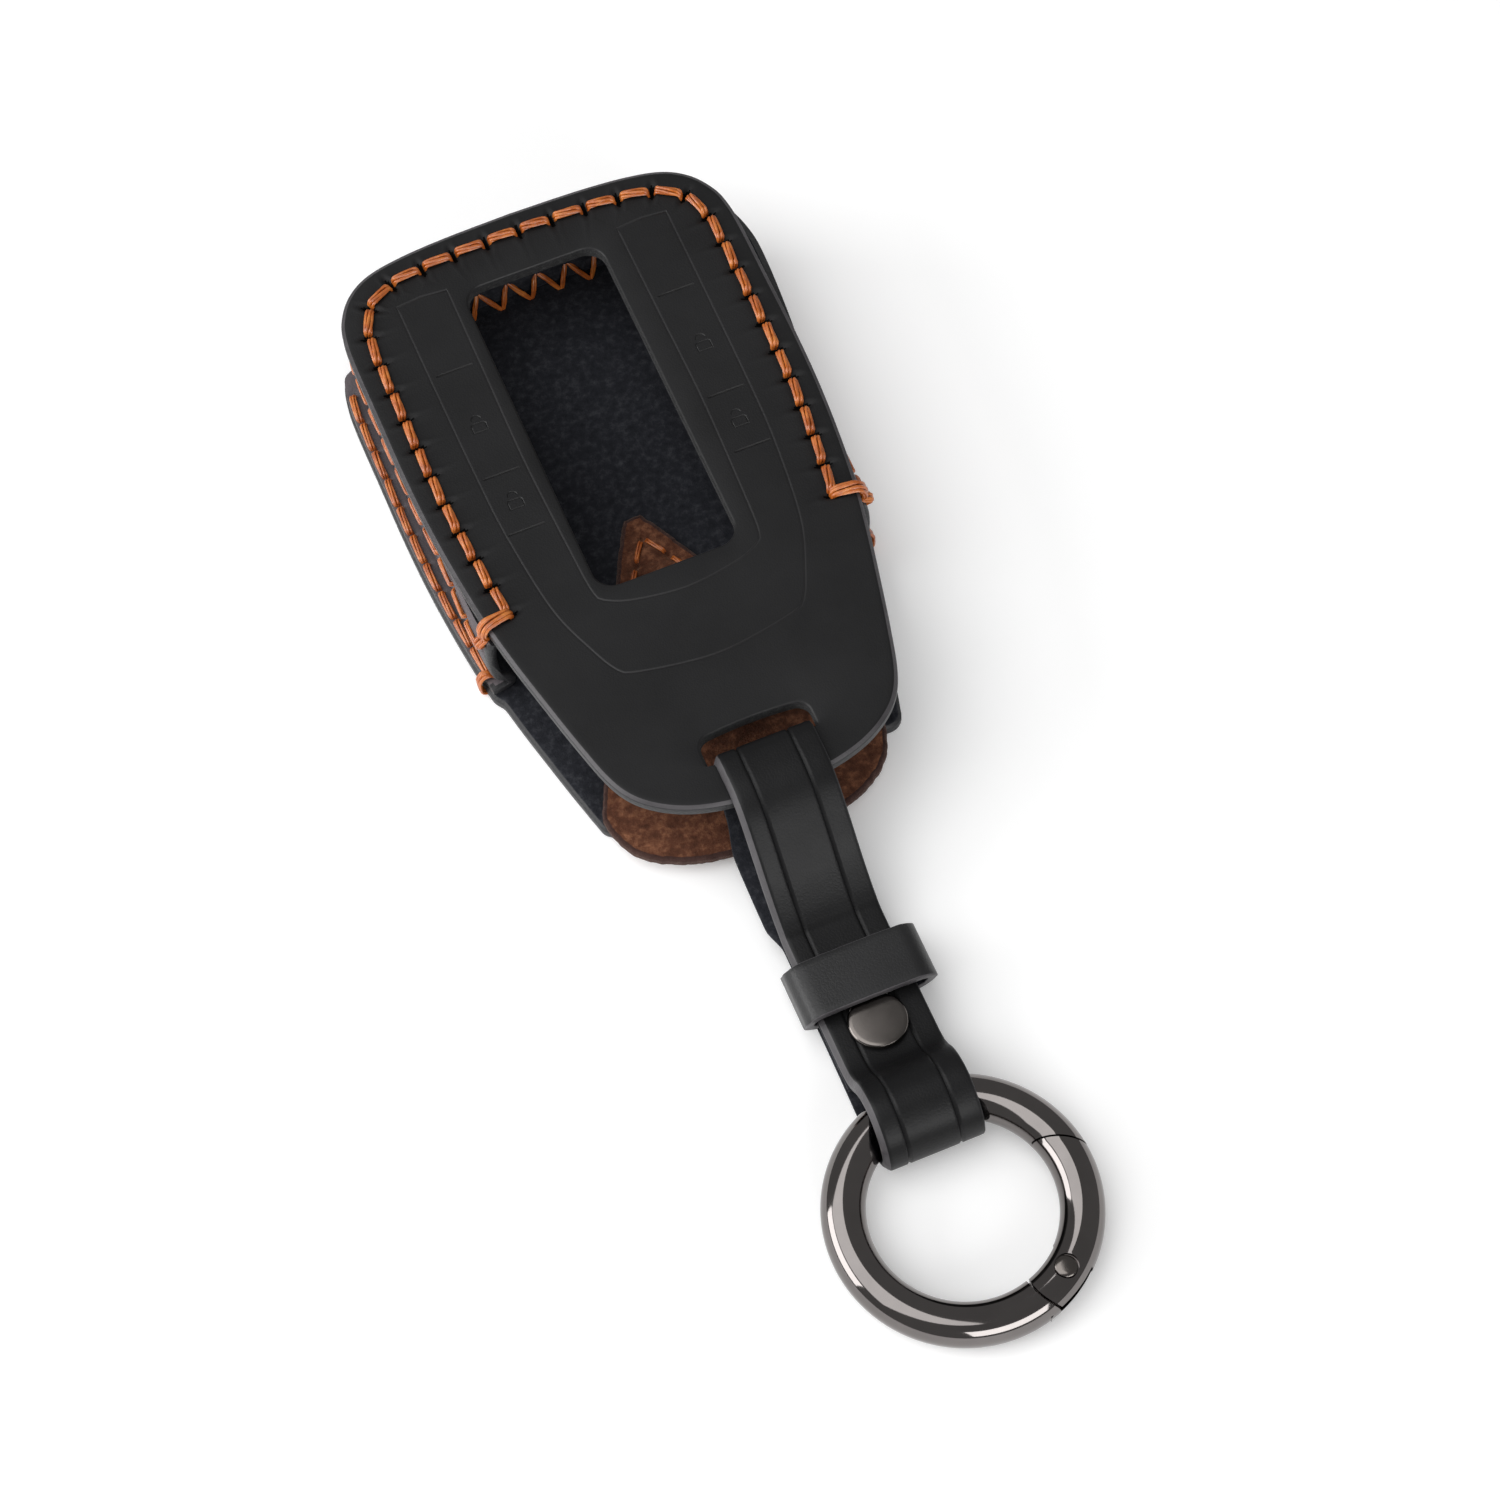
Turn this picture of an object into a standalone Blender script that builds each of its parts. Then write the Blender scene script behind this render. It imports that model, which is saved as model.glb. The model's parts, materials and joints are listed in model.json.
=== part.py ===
"""Leather key cover with a strap and a spring-gate ring.

The case lies on its back on the XY plane. Y runs along it, from the ring to the closed top end,
and Z points up out of the front panel. The pieces are drawn about the middle of the front panel,
and an empty then moves them so that the origin is under the middle of the whole object.
"""

import math

import bmesh
import bpy
from mathutils import Matrix, Vector

MM = 0.001

# Front panel
FRONT_WIDTH = 56.6 * MM
FRONT_LENGTH = 96.4 * MM
PANEL_THICKNESS = 2.0 * MM
CASE_HEIGHT = 17.0 * MM
EDGE_ROUND = 0.5 * MM
LAYER_GAP = 0.3 * MM

# Window in the front panel
WINDOW_WIDTH = 19.7 * MM
WINDOW_LENGTH = 50.8 * MM
WINDOW_CENTRE_X = -0.7 * MM
WINDOW_CENTRE_Y = 13.0 * MM
WINDOW_CORNER = 2.8 * MM

# Strap slot in the front panel
SLOT_WIDTH = 15.0 * MM
SLOT_LENGTH = 4.9 * MM
SLOT_CENTRE_Y = -40.4 * MM
SLOT_ARCH = 0.5 * MM

# Gusset between the two panels
GUSSET_THICKNESS = 1.4 * MM
WALL_INSET = 1.2 * MM
WALL_HOLLOW = 0.5 * MM
WALL_SPLAY = 1.7 * MM
SPLAY_START_Y = 5.0 * MM
WALL_SWELL = 2.2 * MM
SWELL_TOP_Y = 45.0 * MM
SWELL_HIGH_Y = 31.0 * MM
SWELL_END_Y = 0.0 * MM
FLANGE_SETBACK = 0.2 * MM
GUSSET_END_Y = -13.4 * MM
EAR_Y = 42.5 * MM
EAR_BLEND = 5.0 * MM
TOP_WALL_INSET = 2.7 * MM

# Rear panel
REAR_OVERHANG = 1.35 * MM
REAR_FRONT_OVERHANG = 0.65 * MM
REAR_TOP_INSET = 1.2 * MM
REAR_BOTTOM_Y = -38.5 * MM
REAR_CORNER = 2.0 * MM

# Suede tongue on the rear panel
TONGUE_THICKNESS = 1.4 * MM
TONGUE_TOP_Y = 5.0 * MM
TONGUE_TIP_WIDTH = 3.2 * MM
TONGUE_BOTTOM_Y = -48.5 * MM
TONGUE_WIDTH = 39.3 * MM

# Sewing
STITCH_PITCH = 4.75 * MM
SEAM_INSET = 3.5 * MM
SIDE_SEAM_DROP = 4.9 * MM
REAR_SEAM_INSET = 1.25 * MM
REAR_SEAM_TOP_Y = 37.6 * MM
REAR_SEAM_END_Y = -11.2 * MM
THREAD_WIDTH = 1.5 * MM
THREAD_HEIGHT = 0.75 * MM
THREAD_LIFT = 0.08 * MM
SIDE_ROW_LIFT = 0.18 * MM
LEG_LENGTH = 0.9 * MM
LEG_WIDTH = 0.8 * MM
HOLE_LENGTH = 1.7 * MM
HOLE_WIDTH = 1.4 * MM
BOBBIN_WIDTH = 1.1 * MM
BOBBIN_HEIGHT = 0.55 * MM
BOBBIN_GAP = 0.35 * MM
TACK_WIDTH = 2.2 * MM
TACK_HEIGHT = 0.6 * MM
TACK_GAP = 0.5 * MM
GROOVE_WIDTH = 2.0 * MM
GROOVE_DEPTH = 0.85 * MM
ZIGZAG_PITCH = 4.3 * MM
ZIGZAG_HALF_SPAN = 17.2 * MM
ZIGZAG_RISE = 3.6 * MM
ZIGZAG_REACH = 2.1 * MM
ZIGZAG_DEPTH = 0.4 * MM
TONGUE_SEAM_INSET = 2.3 * MM
TONGUE_SEAM_END_Y = -27.0 * MM

# Strap
STRAP_WIDTH = 13.4 * MM
STRAP_THICKNESS = 1.5 * MM
CREASE_INSET = 3.2 * MM
CREASE_WIDTH = 0.8 * MM
CREASE_DEPTH = 0.3 * MM
STRAP_STEP = 6.0 * MM
STRAP_TURN_DEG = 16.0
FRONT_END_Y = -84.0 * MM
LOOP_FAR_Y = -96.5 * MM
REAR_END_Y = -84.6 * MM
RETURN_END_Y = -74.5 * MM

# Rivet through the strap
RIVET_Y = -78.3 * MM
RIVET_RADIUS = 3.85 * MM
RIVET_CAP_HEIGHT = 1.0 * MM
RIVET_BACK_HEIGHT = 0.7 * MM
RIVET_STEM_RADIUS = 1.1 * MM
RIVET_CHAMFER = 0.35 * MM
RIVET_HOLE_GAP = 0.3 * MM

# Keeper loop round the strap
KEEPER_WIDTH = 18.0 * MM
KEEPER_LENGTH = 7.8 * MM
KEEPER_THICKNESS = 1.4 * MM
KEEPER_CORNER = 2.6 * MM
KEEPER_TRAVEL = 2.0 * MM

# Spring-gate ring
RING_OUTER_DIAMETER = 35.0 * MM
RING_TUBE_RADIUS = 2.82 * MM
RING_SIDES = 16
RING_STEP_DEG = 7.5
RING_LOOP_GAP = 0.3 * MM
RING_FLOOR_GAP = 0.05 * MM
GATE_PIN_DEG = -56.0
GATE_TIP_DEG = 12.3
GATE_TIP_SLANT_DEG = 8.2
GATE_GAP = 0.3 * MM
GATE_HEEL_RADIUS = 4.7 * MM
GATE_TONGUE_WIDTH = 3.6 * MM
GATE_TONGUE_THICKNESS = 1.5 * MM
PIN_RADIUS = 0.8 * MM
PIN_GAP = 0.12 * MM
PIN_HEAD_RADIUS = 1.45 * MM
PIN_HEAD_HEIGHT = 0.6 * MM
PIN_SEAT_DEPTH = 0.8 * MM
SPRING_WIRE = 0.32 * MM
SPRING_DIAMETER = 1.7 * MM
SPRING_LENGTH = 4.6 * MM
SPRING_TURNS = 6

CUT_OVERRUN = 1.0 * MM

REAR_TOP = PANEL_THICKNESS
FLANGE_LOW = REAR_TOP + LAYER_GAP
FLANGE_TOP = FLANGE_LOW + GUSSET_THICKNESS
FRONT_LOW = CASE_HEIGHT - PANEL_THICKNESS
WALL_TOP = FRONT_LOW - LAYER_GAP
SIDE_SEAM_HEIGHT = CASE_HEIGHT - SIDE_SEAM_DROP
TONGUE_LOW = REAR_TOP + LAYER_GAP
TONGUE_TOP = TONGUE_LOW + TONGUE_THICKNESS

# Right half of the front panel from the top centre to the bottom centre, as shares of its
# half width and half length.
FRONT_SHARES = (
    (0.0, 1.0), (0.35, 0.995), (0.60, 0.982), (0.77, 0.958), (0.885, 0.912), (0.96, 0.845),
    (0.99, 0.778), (1.0, 0.685), (1.0, 0.50), (1.0, 0.31), (0.99, 0.125), (0.965, -0.06),
    (0.93, -0.228), (0.885, -0.373), (0.83, -0.519), (0.772, -0.664), (0.712, -0.793),
    (0.65, -0.867), (0.562, -0.919), (0.442, -0.96), (0.30, -0.986), (0.15, -0.998), (0.0, -1.0),
)

# Gusset section beside the case, from the front panel down to the fold. Each row is a share
# of the hollow inwards, a share of the wall's height, and a share of the splay at the open end.
SIDE_WALL_SHARES = (
    (0.0, 1.0, 0.6, 1.0), (0.35, 0.83, 1.0, 0.65), (0.9, 0.56, 1.2, 0.35), (1.2, 0.30, 1.05, 0.15),
    (1.4, 0.12, 0.2, 0.0), (1.0, 0.035, 0.0, 0.0), (0.1, 0.0, 0.0, 0.0),
)

# The same seven places on the top wall, as a share of the way in to the wall's foot and a
# share of its height.
TOP_WALL_SHARES = ((0.0, 1.0), (0.2, 0.83), (0.5, 0.56), (0.78, 0.30), (0.95, 0.12), (0.98, 0.06), (1.0, 0.01))

# Side of the tongue from its tip to its bottom centre, as shares of its half width and of
# its length from tip to bottom.
TONGUE_SHARES = (
    (0.30, 0.17), (0.62, 0.45), (0.90, 0.69), (0.99, 0.765), (1.0, 0.80), (0.965, 0.85),
    (0.88, 0.905), (0.70, 0.955), (0.47, 0.985), (0.24, 0.997), (0.0, 1.0),
)


def new_material(name, color, roughness, metallic=0.0):
    material = bpy.data.materials.new(name)
    material.use_nodes = True
    shader = material.node_tree.nodes["Principled BSDF"]
    shader.inputs["Base Color"].default_value = (*color, 1.0)
    shader.inputs["Roughness"].default_value = roughness
    shader.inputs["Metallic"].default_value = metallic
    return material


def clear_objects():
    for old in list(bpy.data.objects):
        bpy.data.objects.remove(old, do_unlink=True)


def mesh_object(name, verts, faces, material=None):
    """One closed mesh with its faces turned outwards."""
    bm = bmesh.new()
    points = [bm.verts.new(v) for v in verts]
    for face in faces:
        bm.faces.new([points[i] for i in face])
    bmesh.ops.recalc_face_normals(bm, faces=bm.faces)
    mesh = bpy.data.meshes.new(name)
    bm.to_mesh(mesh)
    bm.free()
    obj = bpy.data.objects.new(name, mesh)
    bpy.context.collection.objects.link(obj)
    if material:
        mesh.materials.append(material)
    return obj


def loft(name, rings, material=None, closed=False):
    """Skin over rings that all have the same number of points."""
    size = len(rings[0])
    verts = [point for ring in rings for point in ring]
    faces = []
    spans = len(rings) if closed else len(rings) - 1
    for i in range(spans):
        low = i * size
        high = ((i + 1) % len(rings)) * size
        for j in range(size):
            k = (j + 1) % size
            faces.append((low + j, low + k, high + k, high + j))
    if not closed:
        faces.append(tuple(range(size)))
        faces.append(tuple(range(len(verts) - size, len(verts))))
    return mesh_object(name, verts, faces, material)


def smooth(obj, angle=0.7):
    obj.data.shade_smooth()
    obj.data.set_sharp_from_angle(angle=angle)
    return obj


def boolean(obj, other, operation):
    """Cuts obj with other, or joins other to it, and hides other as a guide."""
    modifier = obj.modifiers.new(other.name, "BOOLEAN")
    modifier.operation = operation
    modifier.object = other
    other.hide_render = True
    other.display_type = "WIRE"


def cut(obj, *cutters):
    for cutter in cutters:
        boolean(obj, cutter, "DIFFERENCE")


def join(obj, *pieces):
    for piece in pieces:
        boolean(obj, piece, "UNION")


def spline(points, per_span, closed=False):
    """Catmull-Rom curve through the points."""
    count = len(points)
    out = []
    spans = count if closed else count - 1
    for i in range(spans):
        if closed:
            a, b, c, d = (points[(i + k - 1) % count] for k in range(4))
        else:
            a, b = points[max(i - 1, 0)], points[i]
            c, d = points[i + 1], points[min(i + 2, count - 1)]
        for step in range(per_span):
            t = step / per_span
            cubic = (d - a + (b - c) * 3) * t**3
            square = (a * 2 - b * 5 + c * 4 - d) * t**2
            out.append((cubic + square + (c - a) * t + b * 2) / 2)
    if not closed:
        out.append(points[-1])
    return out


def lengths(points):
    total = [0.0]
    for a, b in zip(points, points[1:]):
        total.append(total[-1] + (b - a).length)
    return total


def at_length(points, distance):
    """Point of a polyline at a distance from its start."""
    walked = 0.0
    for a, b in zip(points, points[1:]):
        span = (b - a).length
        if span > 0.0 and walked + span >= distance:
            return a.lerp(b, (distance - walked) / span)
        walked += span
    return points[-1].copy()


def even_points(points, step):
    total = lengths(points)[-1]
    count = max(2, round(total / step))
    return [at_length(points, total * i / count) for i in range(count + 1)]


def bend_points(points, longest, turn_deg):
    """Points of a fine polyline, close together only where it bends."""
    out = [points[0]]
    turned_by = 0.0
    for before, point, after in zip(points, points[1:], points[2:]):
        turned_by += abs((point - before).angle_signed(after - point))
        if turned_by >= math.radians(turn_deg) or (point - out[-1]).length >= longest:
            out.append(point)
            turned_by = 0.0
    out.append(points[-1])
    return out


def flat_normals(points, closed=False):
    """Normal to the left of each point of a polyline in the XY plane."""
    out = []
    count = len(points)
    for i in range(count):
        if closed:
            a, b = points[i - 1], points[(i + 1) % count]
        else:
            a, b = points[max(i - 1, 0)], points[min(i + 1, count - 1)]
        along = (b - a).normalized()
        out.append(Vector((-along.y, along.x)))
    return out


def offset(points, amount, closed=False):
    normals = flat_normals(points, closed)
    return [p + n * amount for p, n in zip(points, normals)]


def mirrored(half):
    """Closed outline, counter-clockwise, from its right half listed top to bottom."""
    left = [Vector((-p.x, p.y)) for p in half]
    return left[:-1] + list(reversed(half))[:-1]


def prism(name, outline, low, high, material=None):
    rings = [[(p.x, p.y, z) for p in outline] for z in (low, high)]
    return loft(name, rings, material)


def plate(name, outline, low, high, edge, material):
    """Flat sheet with eased edges on both faces."""
    inner = offset(outline, edge, closed=True)
    levels = ((inner, low), (outline, low + edge), (outline, high - edge), (inner, high))
    rings = [[(p.x, p.y, z) for p in line] for line, z in levels]
    return loft(name, rings, material)


def cylinder(name, radius, low, high, centre=(0.0, 0.0), sides=24):
    outline = [
        Vector((centre[0] + radius * math.cos(a), centre[1] + radius * math.sin(a)))
        for a in (math.tau * i / sides for i in range(sides))
    ]
    return prism(name, outline, low, high)


def rounded_box(width, length, centre_y, corner, steps=4):
    outline = []
    for turn in range(4):
        sign_x = 1 if turn in (0, 3) else -1
        sign_y = 1 if turn in (0, 1) else -1
        middle = Vector((sign_x * (width / 2 - corner), centre_y + sign_y * (length / 2 - corner)))
        for i in range(steps + 1):
            angle = math.pi / 2 * (turn + i / steps)
            outline.append(middle + Vector((math.cos(angle), math.sin(angle))) * corner)
    return outline


def front_half():
    """Right half of the front panel's outline, from the top centre down."""
    points = [Vector((x * FRONT_WIDTH / 2, y * FRONT_LENGTH / 2)) for x, y in FRONT_SHARES]
    return spline(points, 2)


def between_heights(points, low, high):
    """Stretch between two values of Y of a line that rises all the way."""
    out = []
    for a, b in zip(points, points[1:]):
        if a.y < high and b.y > low:
            start = max((low - a.y) / (b.y - a.y), 0.0)
            end = min((high - a.y) / (b.y - a.y), 1.0)
            if not out:
                out.append(a.lerp(b, start))
            out.append(a.lerp(b, end))
    return out


def edge_path(start_y, inset=0.0):
    """Front panel's edge over the top, from the right side at start_y to the left side."""
    half = [p for p in front_half() if p.y > start_y]
    below = next(p for p in front_half() if p.y <= start_y)
    last = half[-1]
    half.append(last.lerp(below, (start_y - last.y) / (below.y - last.y)))
    right = list(reversed(half))
    left = [Vector((-p.x, p.y)) for p in half[1:]]
    return offset(right + left, inset)


def smoothstep(value):
    value = min(max(value, 0.0), 1.0)
    return value * value * (3 - 2 * value)


def side_share(point):
    """1 beside the case, 0 along its closed top, blended round the ears."""
    return smoothstep((EAR_Y - point.y) / EAR_BLEND + 0.5)


def splay_share(point):
    """0 along the case, rising to 1 at the gusset's open end."""
    return smoothstep((SPLAY_START_Y - point.y) / (SPLAY_START_Y - GUSSET_END_Y))


def swell_share(point):
    """Bulge of the right side under the front panel's edge, highest near its upper end."""
    if point.x < 0:
        return 0.0
    above = smoothstep((SWELL_TOP_Y - point.y) / (SWELL_TOP_Y - SWELL_HIGH_Y))
    below = smoothstep((point.y - SWELL_END_Y) / (SWELL_HIGH_Y - SWELL_END_Y))
    return above * below


def gusset_section(share, splay=0.0, swell=0.0):
    """Middle line of the gusset's section as (distance out from the panel's edge, height)."""
    low = FLANGE_LOW + GUSSET_THICKNESS / 2
    height = WALL_TOP - low
    side = []
    for hollow, rise, lean, bulge in SIDE_WALL_SHARES:
        out = WALL_SPLAY * lean * splay + WALL_SWELL * bulge * swell - WALL_INSET - WALL_HOLLOW * hollow
        side.append((out, low + height * rise))
    side.append((REAR_OVERHANG - FLANGE_SETBACK, low))
    wall = []
    for inward, rise in TOP_WALL_SHARES:
        out = -WALL_INSET - (TOP_WALL_INSET - WALL_INSET) * inward
        wall.append((out, low + height * rise))
    wall.append((-TOP_WALL_INSET, FLANGE_LOW))
    return [Vector(a).lerp(Vector(b), share) for a, b in zip(wall, side)]


def gusset_stations():
    """Places along the front panel's edge where the gusset has a section, one at each hole."""
    path = edge_path(GUSSET_END_Y)
    total = lengths(path)[-1]
    inside = total - HOLE_LENGTH * 2
    seam = edge_path(GUSSET_END_Y + HOLE_LENGTH, SEAM_INSET)
    count = round(lengths(seam)[-1] / STITCH_PITCH)
    holes = [at_length(path, HOLE_LENGTH + inside * i / count) for i in range(count + 1)]
    return [path[0]] + holes + [path[-1]]


def side_gusset(material):
    """Strip that stands round the sides and the top, turned out on the rear panel."""
    path = gusset_stations()
    rings = []
    for point, normal in zip(path, flat_normals(path)):
        line = gusset_section(side_share(point), splay_share(point), swell_share(point))
        outer = offset(line, GUSSET_THICKNESS / 2)
        inner = offset(line, -GUSSET_THICKNESS / 2)
        ring = []
        for distance, height in outer + list(reversed(inner)):
            spot = point - normal * distance
            ring.append((spot.x, spot.y, height))
        rings.append(ring)
    return smooth(loft("side_gusset", rings, material))


def across_wall(section, height, side):
    """Distance of a face of the wall from the panel's edge; side is 1 outside, -1 inside."""
    face = offset(section, GUSSET_THICKNESS / 2 * side)
    for a, b in zip(face, face[1:]):
        if b.y <= height <= a.y:
            return a.x + (b.x - a.x) * (a.y - height) / (a.y - b.y)
    return face[-1].x


def side_seam():
    """Holes in the gusset's outer face under the front panel's edge, with their normals."""
    path = gusset_stations()
    spots = []
    for point, normal in zip(path, flat_normals(path)):
        section = gusset_section(side_share(point), splay_share(point), swell_share(point))
        reach = across_wall(section, SIDE_SEAM_HEIGHT, 1)
        spots.append((point - normal * reach, -normal))
    return spots[1:-1]


def front_seam():
    """Stitch holes of the front seam, from the lower right end over the top to the left."""
    line = edge_path(GUSSET_END_Y + HOLE_LENGTH, SEAM_INSET)
    total = lengths(line)[-1]
    count = len(gusset_stations()) - 3
    return [at_length(line, total * i / count) for i in range(count + 1)]


def rear_half():
    """Right half of the rear panel's outline, from the top centre to the bottom centre."""
    half = front_half()
    normals = flat_normals([Vector((-half[1].x, half[1].y))] + half)[1:]
    above = []
    below = []
    for point, normal in zip(half, normals):
        share = side_share(point)
        reach = REAR_OVERHANG * share - REAR_TOP_INSET * (1 - share)
        if point.y > GUSSET_END_Y + REAR_CORNER:
            above.append(point + normal * reach)
        elif GUSSET_END_Y - REAR_CORNER > point.y > REAR_BOTTOM_Y + REAR_CORNER:
            below.append(point + normal * REAR_FRONT_OVERHANG)
    slope = (above[-1] - above[-2]) / (above[-2].y - above[-1].y)
    step = above[-1] + slope * (above[-1].y - GUSSET_END_Y)
    notch = REAR_OVERHANG - REAR_FRONT_OVERHANG
    out = above + [step, Vector((step.x - notch, GUSSET_END_Y - EDGE_ROUND))] + below
    last = out[-1]
    middle = Vector((last.x - REAR_CORNER * 0.35, REAR_BOTTOM_Y + REAR_CORNER * 0.3))
    foot = Vector((last.x - REAR_CORNER * 1.2, REAR_BOTTOM_Y))
    return out + [middle, foot, Vector((0.0, REAR_BOTTOM_Y))]


def rear_seam(side):
    """Stitch holes of one rear seam, from its lower end up; side is 1 or -1."""
    inner = offset(list(reversed(rear_half())), REAR_SEAM_INSET)
    line = between_heights(inner, REAR_SEAM_END_Y, REAR_SEAM_TOP_Y)
    return [Vector((p.x * side, p.y)) for p in even_points(line, STITCH_PITCH)]


def tongue_half():
    """Right half of the tongue's outline, from its tip to its bottom centre."""
    length = TONGUE_TOP_Y - TONGUE_BOTTOM_Y
    points = [Vector((TONGUE_TIP_WIDTH / 2, TONGUE_TOP_Y))]
    points += [Vector((x * TONGUE_WIDTH / 2, TONGUE_TOP_Y - y * length)) for x, y in TONGUE_SHARES]
    return points


def tongue_seam():
    """Stitch holes of the tongue, up its left side, over the tip and down the right."""
    top = Vector((0.0, TONGUE_TOP_Y - TONGUE_SEAM_INSET * 1.6))
    right = []
    half = tongue_half()
    for point, normal in zip(half, flat_normals(half)):
        if point.y > TONGUE_SEAM_END_Y:
            right.append(point - normal * TONGUE_SEAM_INSET)
    after = next(p for p in half if p.y <= TONGUE_SEAM_END_Y)
    right.append(Vector((after.x - TONGUE_SEAM_INSET, TONGUE_SEAM_END_Y)))
    side = [top] + right[1:]
    holes = even_points(side, STITCH_PITCH)
    left = [Vector((-p.x, p.y)) for p in reversed(holes[1:])]
    return left + holes


def hole_cutters(name, holes, low, high):
    """Slits along a seam, one at each stitch hole, as one cutter."""
    verts = []
    faces = []
    for hole, normal in zip(holes, flat_normals(holes)):
        along = Vector((normal.y, -normal.x))
        base = len(verts)
        for z in (low, high):
            for a, b in ((-1, -1), (1, -1), (1, 1), (-1, 1)):
                spot = hole + along * (a * HOLE_LENGTH / 2) + normal * (b * HOLE_WIDTH / 2)
                verts.append((spot.x, spot.y, z))
        for quad in ((0, 1, 2, 3), (4, 5, 6, 7), (0, 1, 5, 4), (1, 2, 6, 5), (2, 3, 7, 6), (3, 0, 4, 7)):
            faces.append(tuple(base + i for i in quad))
    return mesh_object(name, verts, faces)


def groove_cutter(name, line, width):
    """Stitching groove in the rear panel's outer face along a line."""
    rings = []
    for point, normal in zip(line, flat_normals(line)):
        left = point + normal * (width / 2)
        right = point - normal * (width / 2)
        ring = [(left.x, left.y, -CUT_OVERRUN), (right.x, right.y, -CUT_OVERRUN)]
        ring += [(right.x, right.y, GROOVE_DEPTH), (left.x, left.y, GROOVE_DEPTH)]
        rings.append(ring)
    return loft(name, rings)


def thread_ring(spot, across, up, half_width, low, high):
    """Section of a sewing thread, narrower on its far side; low and high are along up."""
    near = across * half_width
    far = across * (half_width * 0.65)
    return [spot - near + up * low, spot + near + up * low, spot + far + up * high, spot - far + up * high]


def sewn_thread(name, holes, ups, depth, width, height, material, lift=THREAD_LIFT):
    """Thread lying on a surface and dipping into every hole; ups gives the way out of each."""
    rise = lift + height
    dip = -height / 4
    step = lift * 2
    near = LEG_LENGTH / 2
    leg_half = LEG_WIDTH / 2
    rings = []
    for start, end, up, next_up in zip(holes, holes[1:], ups, ups[1:]):
        along = (end - start).normalized()
        span = (end - start).length
        stations = (
            (near, leg_half, -depth, dip),
            (near + step, leg_half, lift, lift + height / 2),
            (span / 2, width / 2, lift, rise),
            (span - near - step, leg_half, lift, lift + height / 2),
            (span - near, leg_half, -depth, dip),
        )
        if start is holes[0]:
            side = up.cross(along).normalized()
            rings.append(thread_ring(start - along * near, side, up, leg_half, -depth, dip))
        for distance, half_width, low, high in stations:
            lean = up.lerp(next_up, distance / span).normalized()
            side = lean.cross(along).normalized()
            rings.append(thread_ring(start + along * distance, side, lean, half_width, low, high))
    rings.append(thread_ring(end + along * near, side, next_up, leg_half, -depth, dip))
    return loft(name, rings, material)


def flat_thread(name, holes, surface, depth, width, height, material, up=1):
    """Sewn thread on a level surface; up is -1 under a surface."""
    spots = [Vector((p.x, p.y, surface)) for p in holes]
    ups = [Vector((0.0, 0.0, up))] * len(spots)
    return sewn_thread(name, spots, ups, depth, width, height, material)


def bent_bar(name, points, lateral, half_widths, half_height, closed, material=None):
    """Flat bar that follows straight runs in one plane, mitred where they meet."""
    count = len(points)
    rings = []
    for i in range(count):
        before = points[i - 1] if closed or i > 0 else None
        after = points[(i + 1) % count] if closed or i < count - 1 else None
        arrive = (points[i] - before).normalized() if before is not None else None
        leave = (after - points[i]).normalized() if after is not None else None
        arrive = arrive or leave
        leave = leave or arrive
        plane = (arrive + leave).normalized()
        inward = lateral.cross(arrive).normalized()
        ring = []
        for a, b in ((-1, -1), (1, -1), (1, 1), (-1, 1)):
            arm = lateral * (a * half_widths[i]) + inward * (b * half_height)
            ring.append(points[i] + arm - arrive * (arm.dot(plane) / arrive.dot(plane)))
        rings.append(ring)
    return loft(name, rings, material, closed=closed)


def edge_tack(name, hole, outward, reach, low, high):
    """Thread wrapped from an end hole round the edge of the leather and back."""
    inner = -TACK_HEIGHT / 4
    outer = reach + TACK_GAP + TACK_HEIGHT / 2
    top = high + THREAD_LIFT + TACK_HEIGHT * 0.6
    bottom = low - THREAD_LIFT - TACK_HEIGHT * 0.6
    ease = TACK_HEIGHT
    narrow = THREAD_WIDTH / 2
    profile = (
        (inner, top), (narrow, top), (outer - ease, top), (outer, top - ease),
        (outer, bottom + ease), (outer - ease, bottom), (inner, bottom),
    )
    points = [Vector((hole.x + outward.x * a, hole.y + outward.y * a, z)) for a, z in profile]
    lateral = Vector((-outward.y, outward.x, 0.0))
    leg = LEG_WIDTH / 2
    wide = TACK_WIDTH / 2
    widths = (leg, leg, wide, wide, wide, wide, leg)
    return bent_bar(name, points, lateral, widths, TACK_HEIGHT / 2, True)


def side_hole_cutter(holes):
    """Slits through the gusset's wall for the side row of the front seam."""
    depth = GUSSET_THICKNESS + CUT_OVERRUN
    verts = []
    faces = []
    for spot, outward in holes:
        along = Vector((outward.y, -outward.x))
        base = len(verts)
        for reach in (CUT_OVERRUN, -depth):
            for a, b in ((-1, -1), (1, -1), (1, 1), (-1, 1)):
                place = spot + outward * reach + along * (a * HOLE_LENGTH / 2)
                verts.append((place.x, place.y, SIDE_SEAM_HEIGHT + b * HOLE_WIDTH / 2))
        for quad in ((0, 1, 2, 3), (4, 5, 6, 7), (0, 1, 5, 4), (1, 2, 6, 5), (2, 3, 7, 6), (3, 0, 4, 7)):
            faces.append(tuple(base + i for i in quad))
    return mesh_object("side_hole_cutter", verts, faces)


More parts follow.
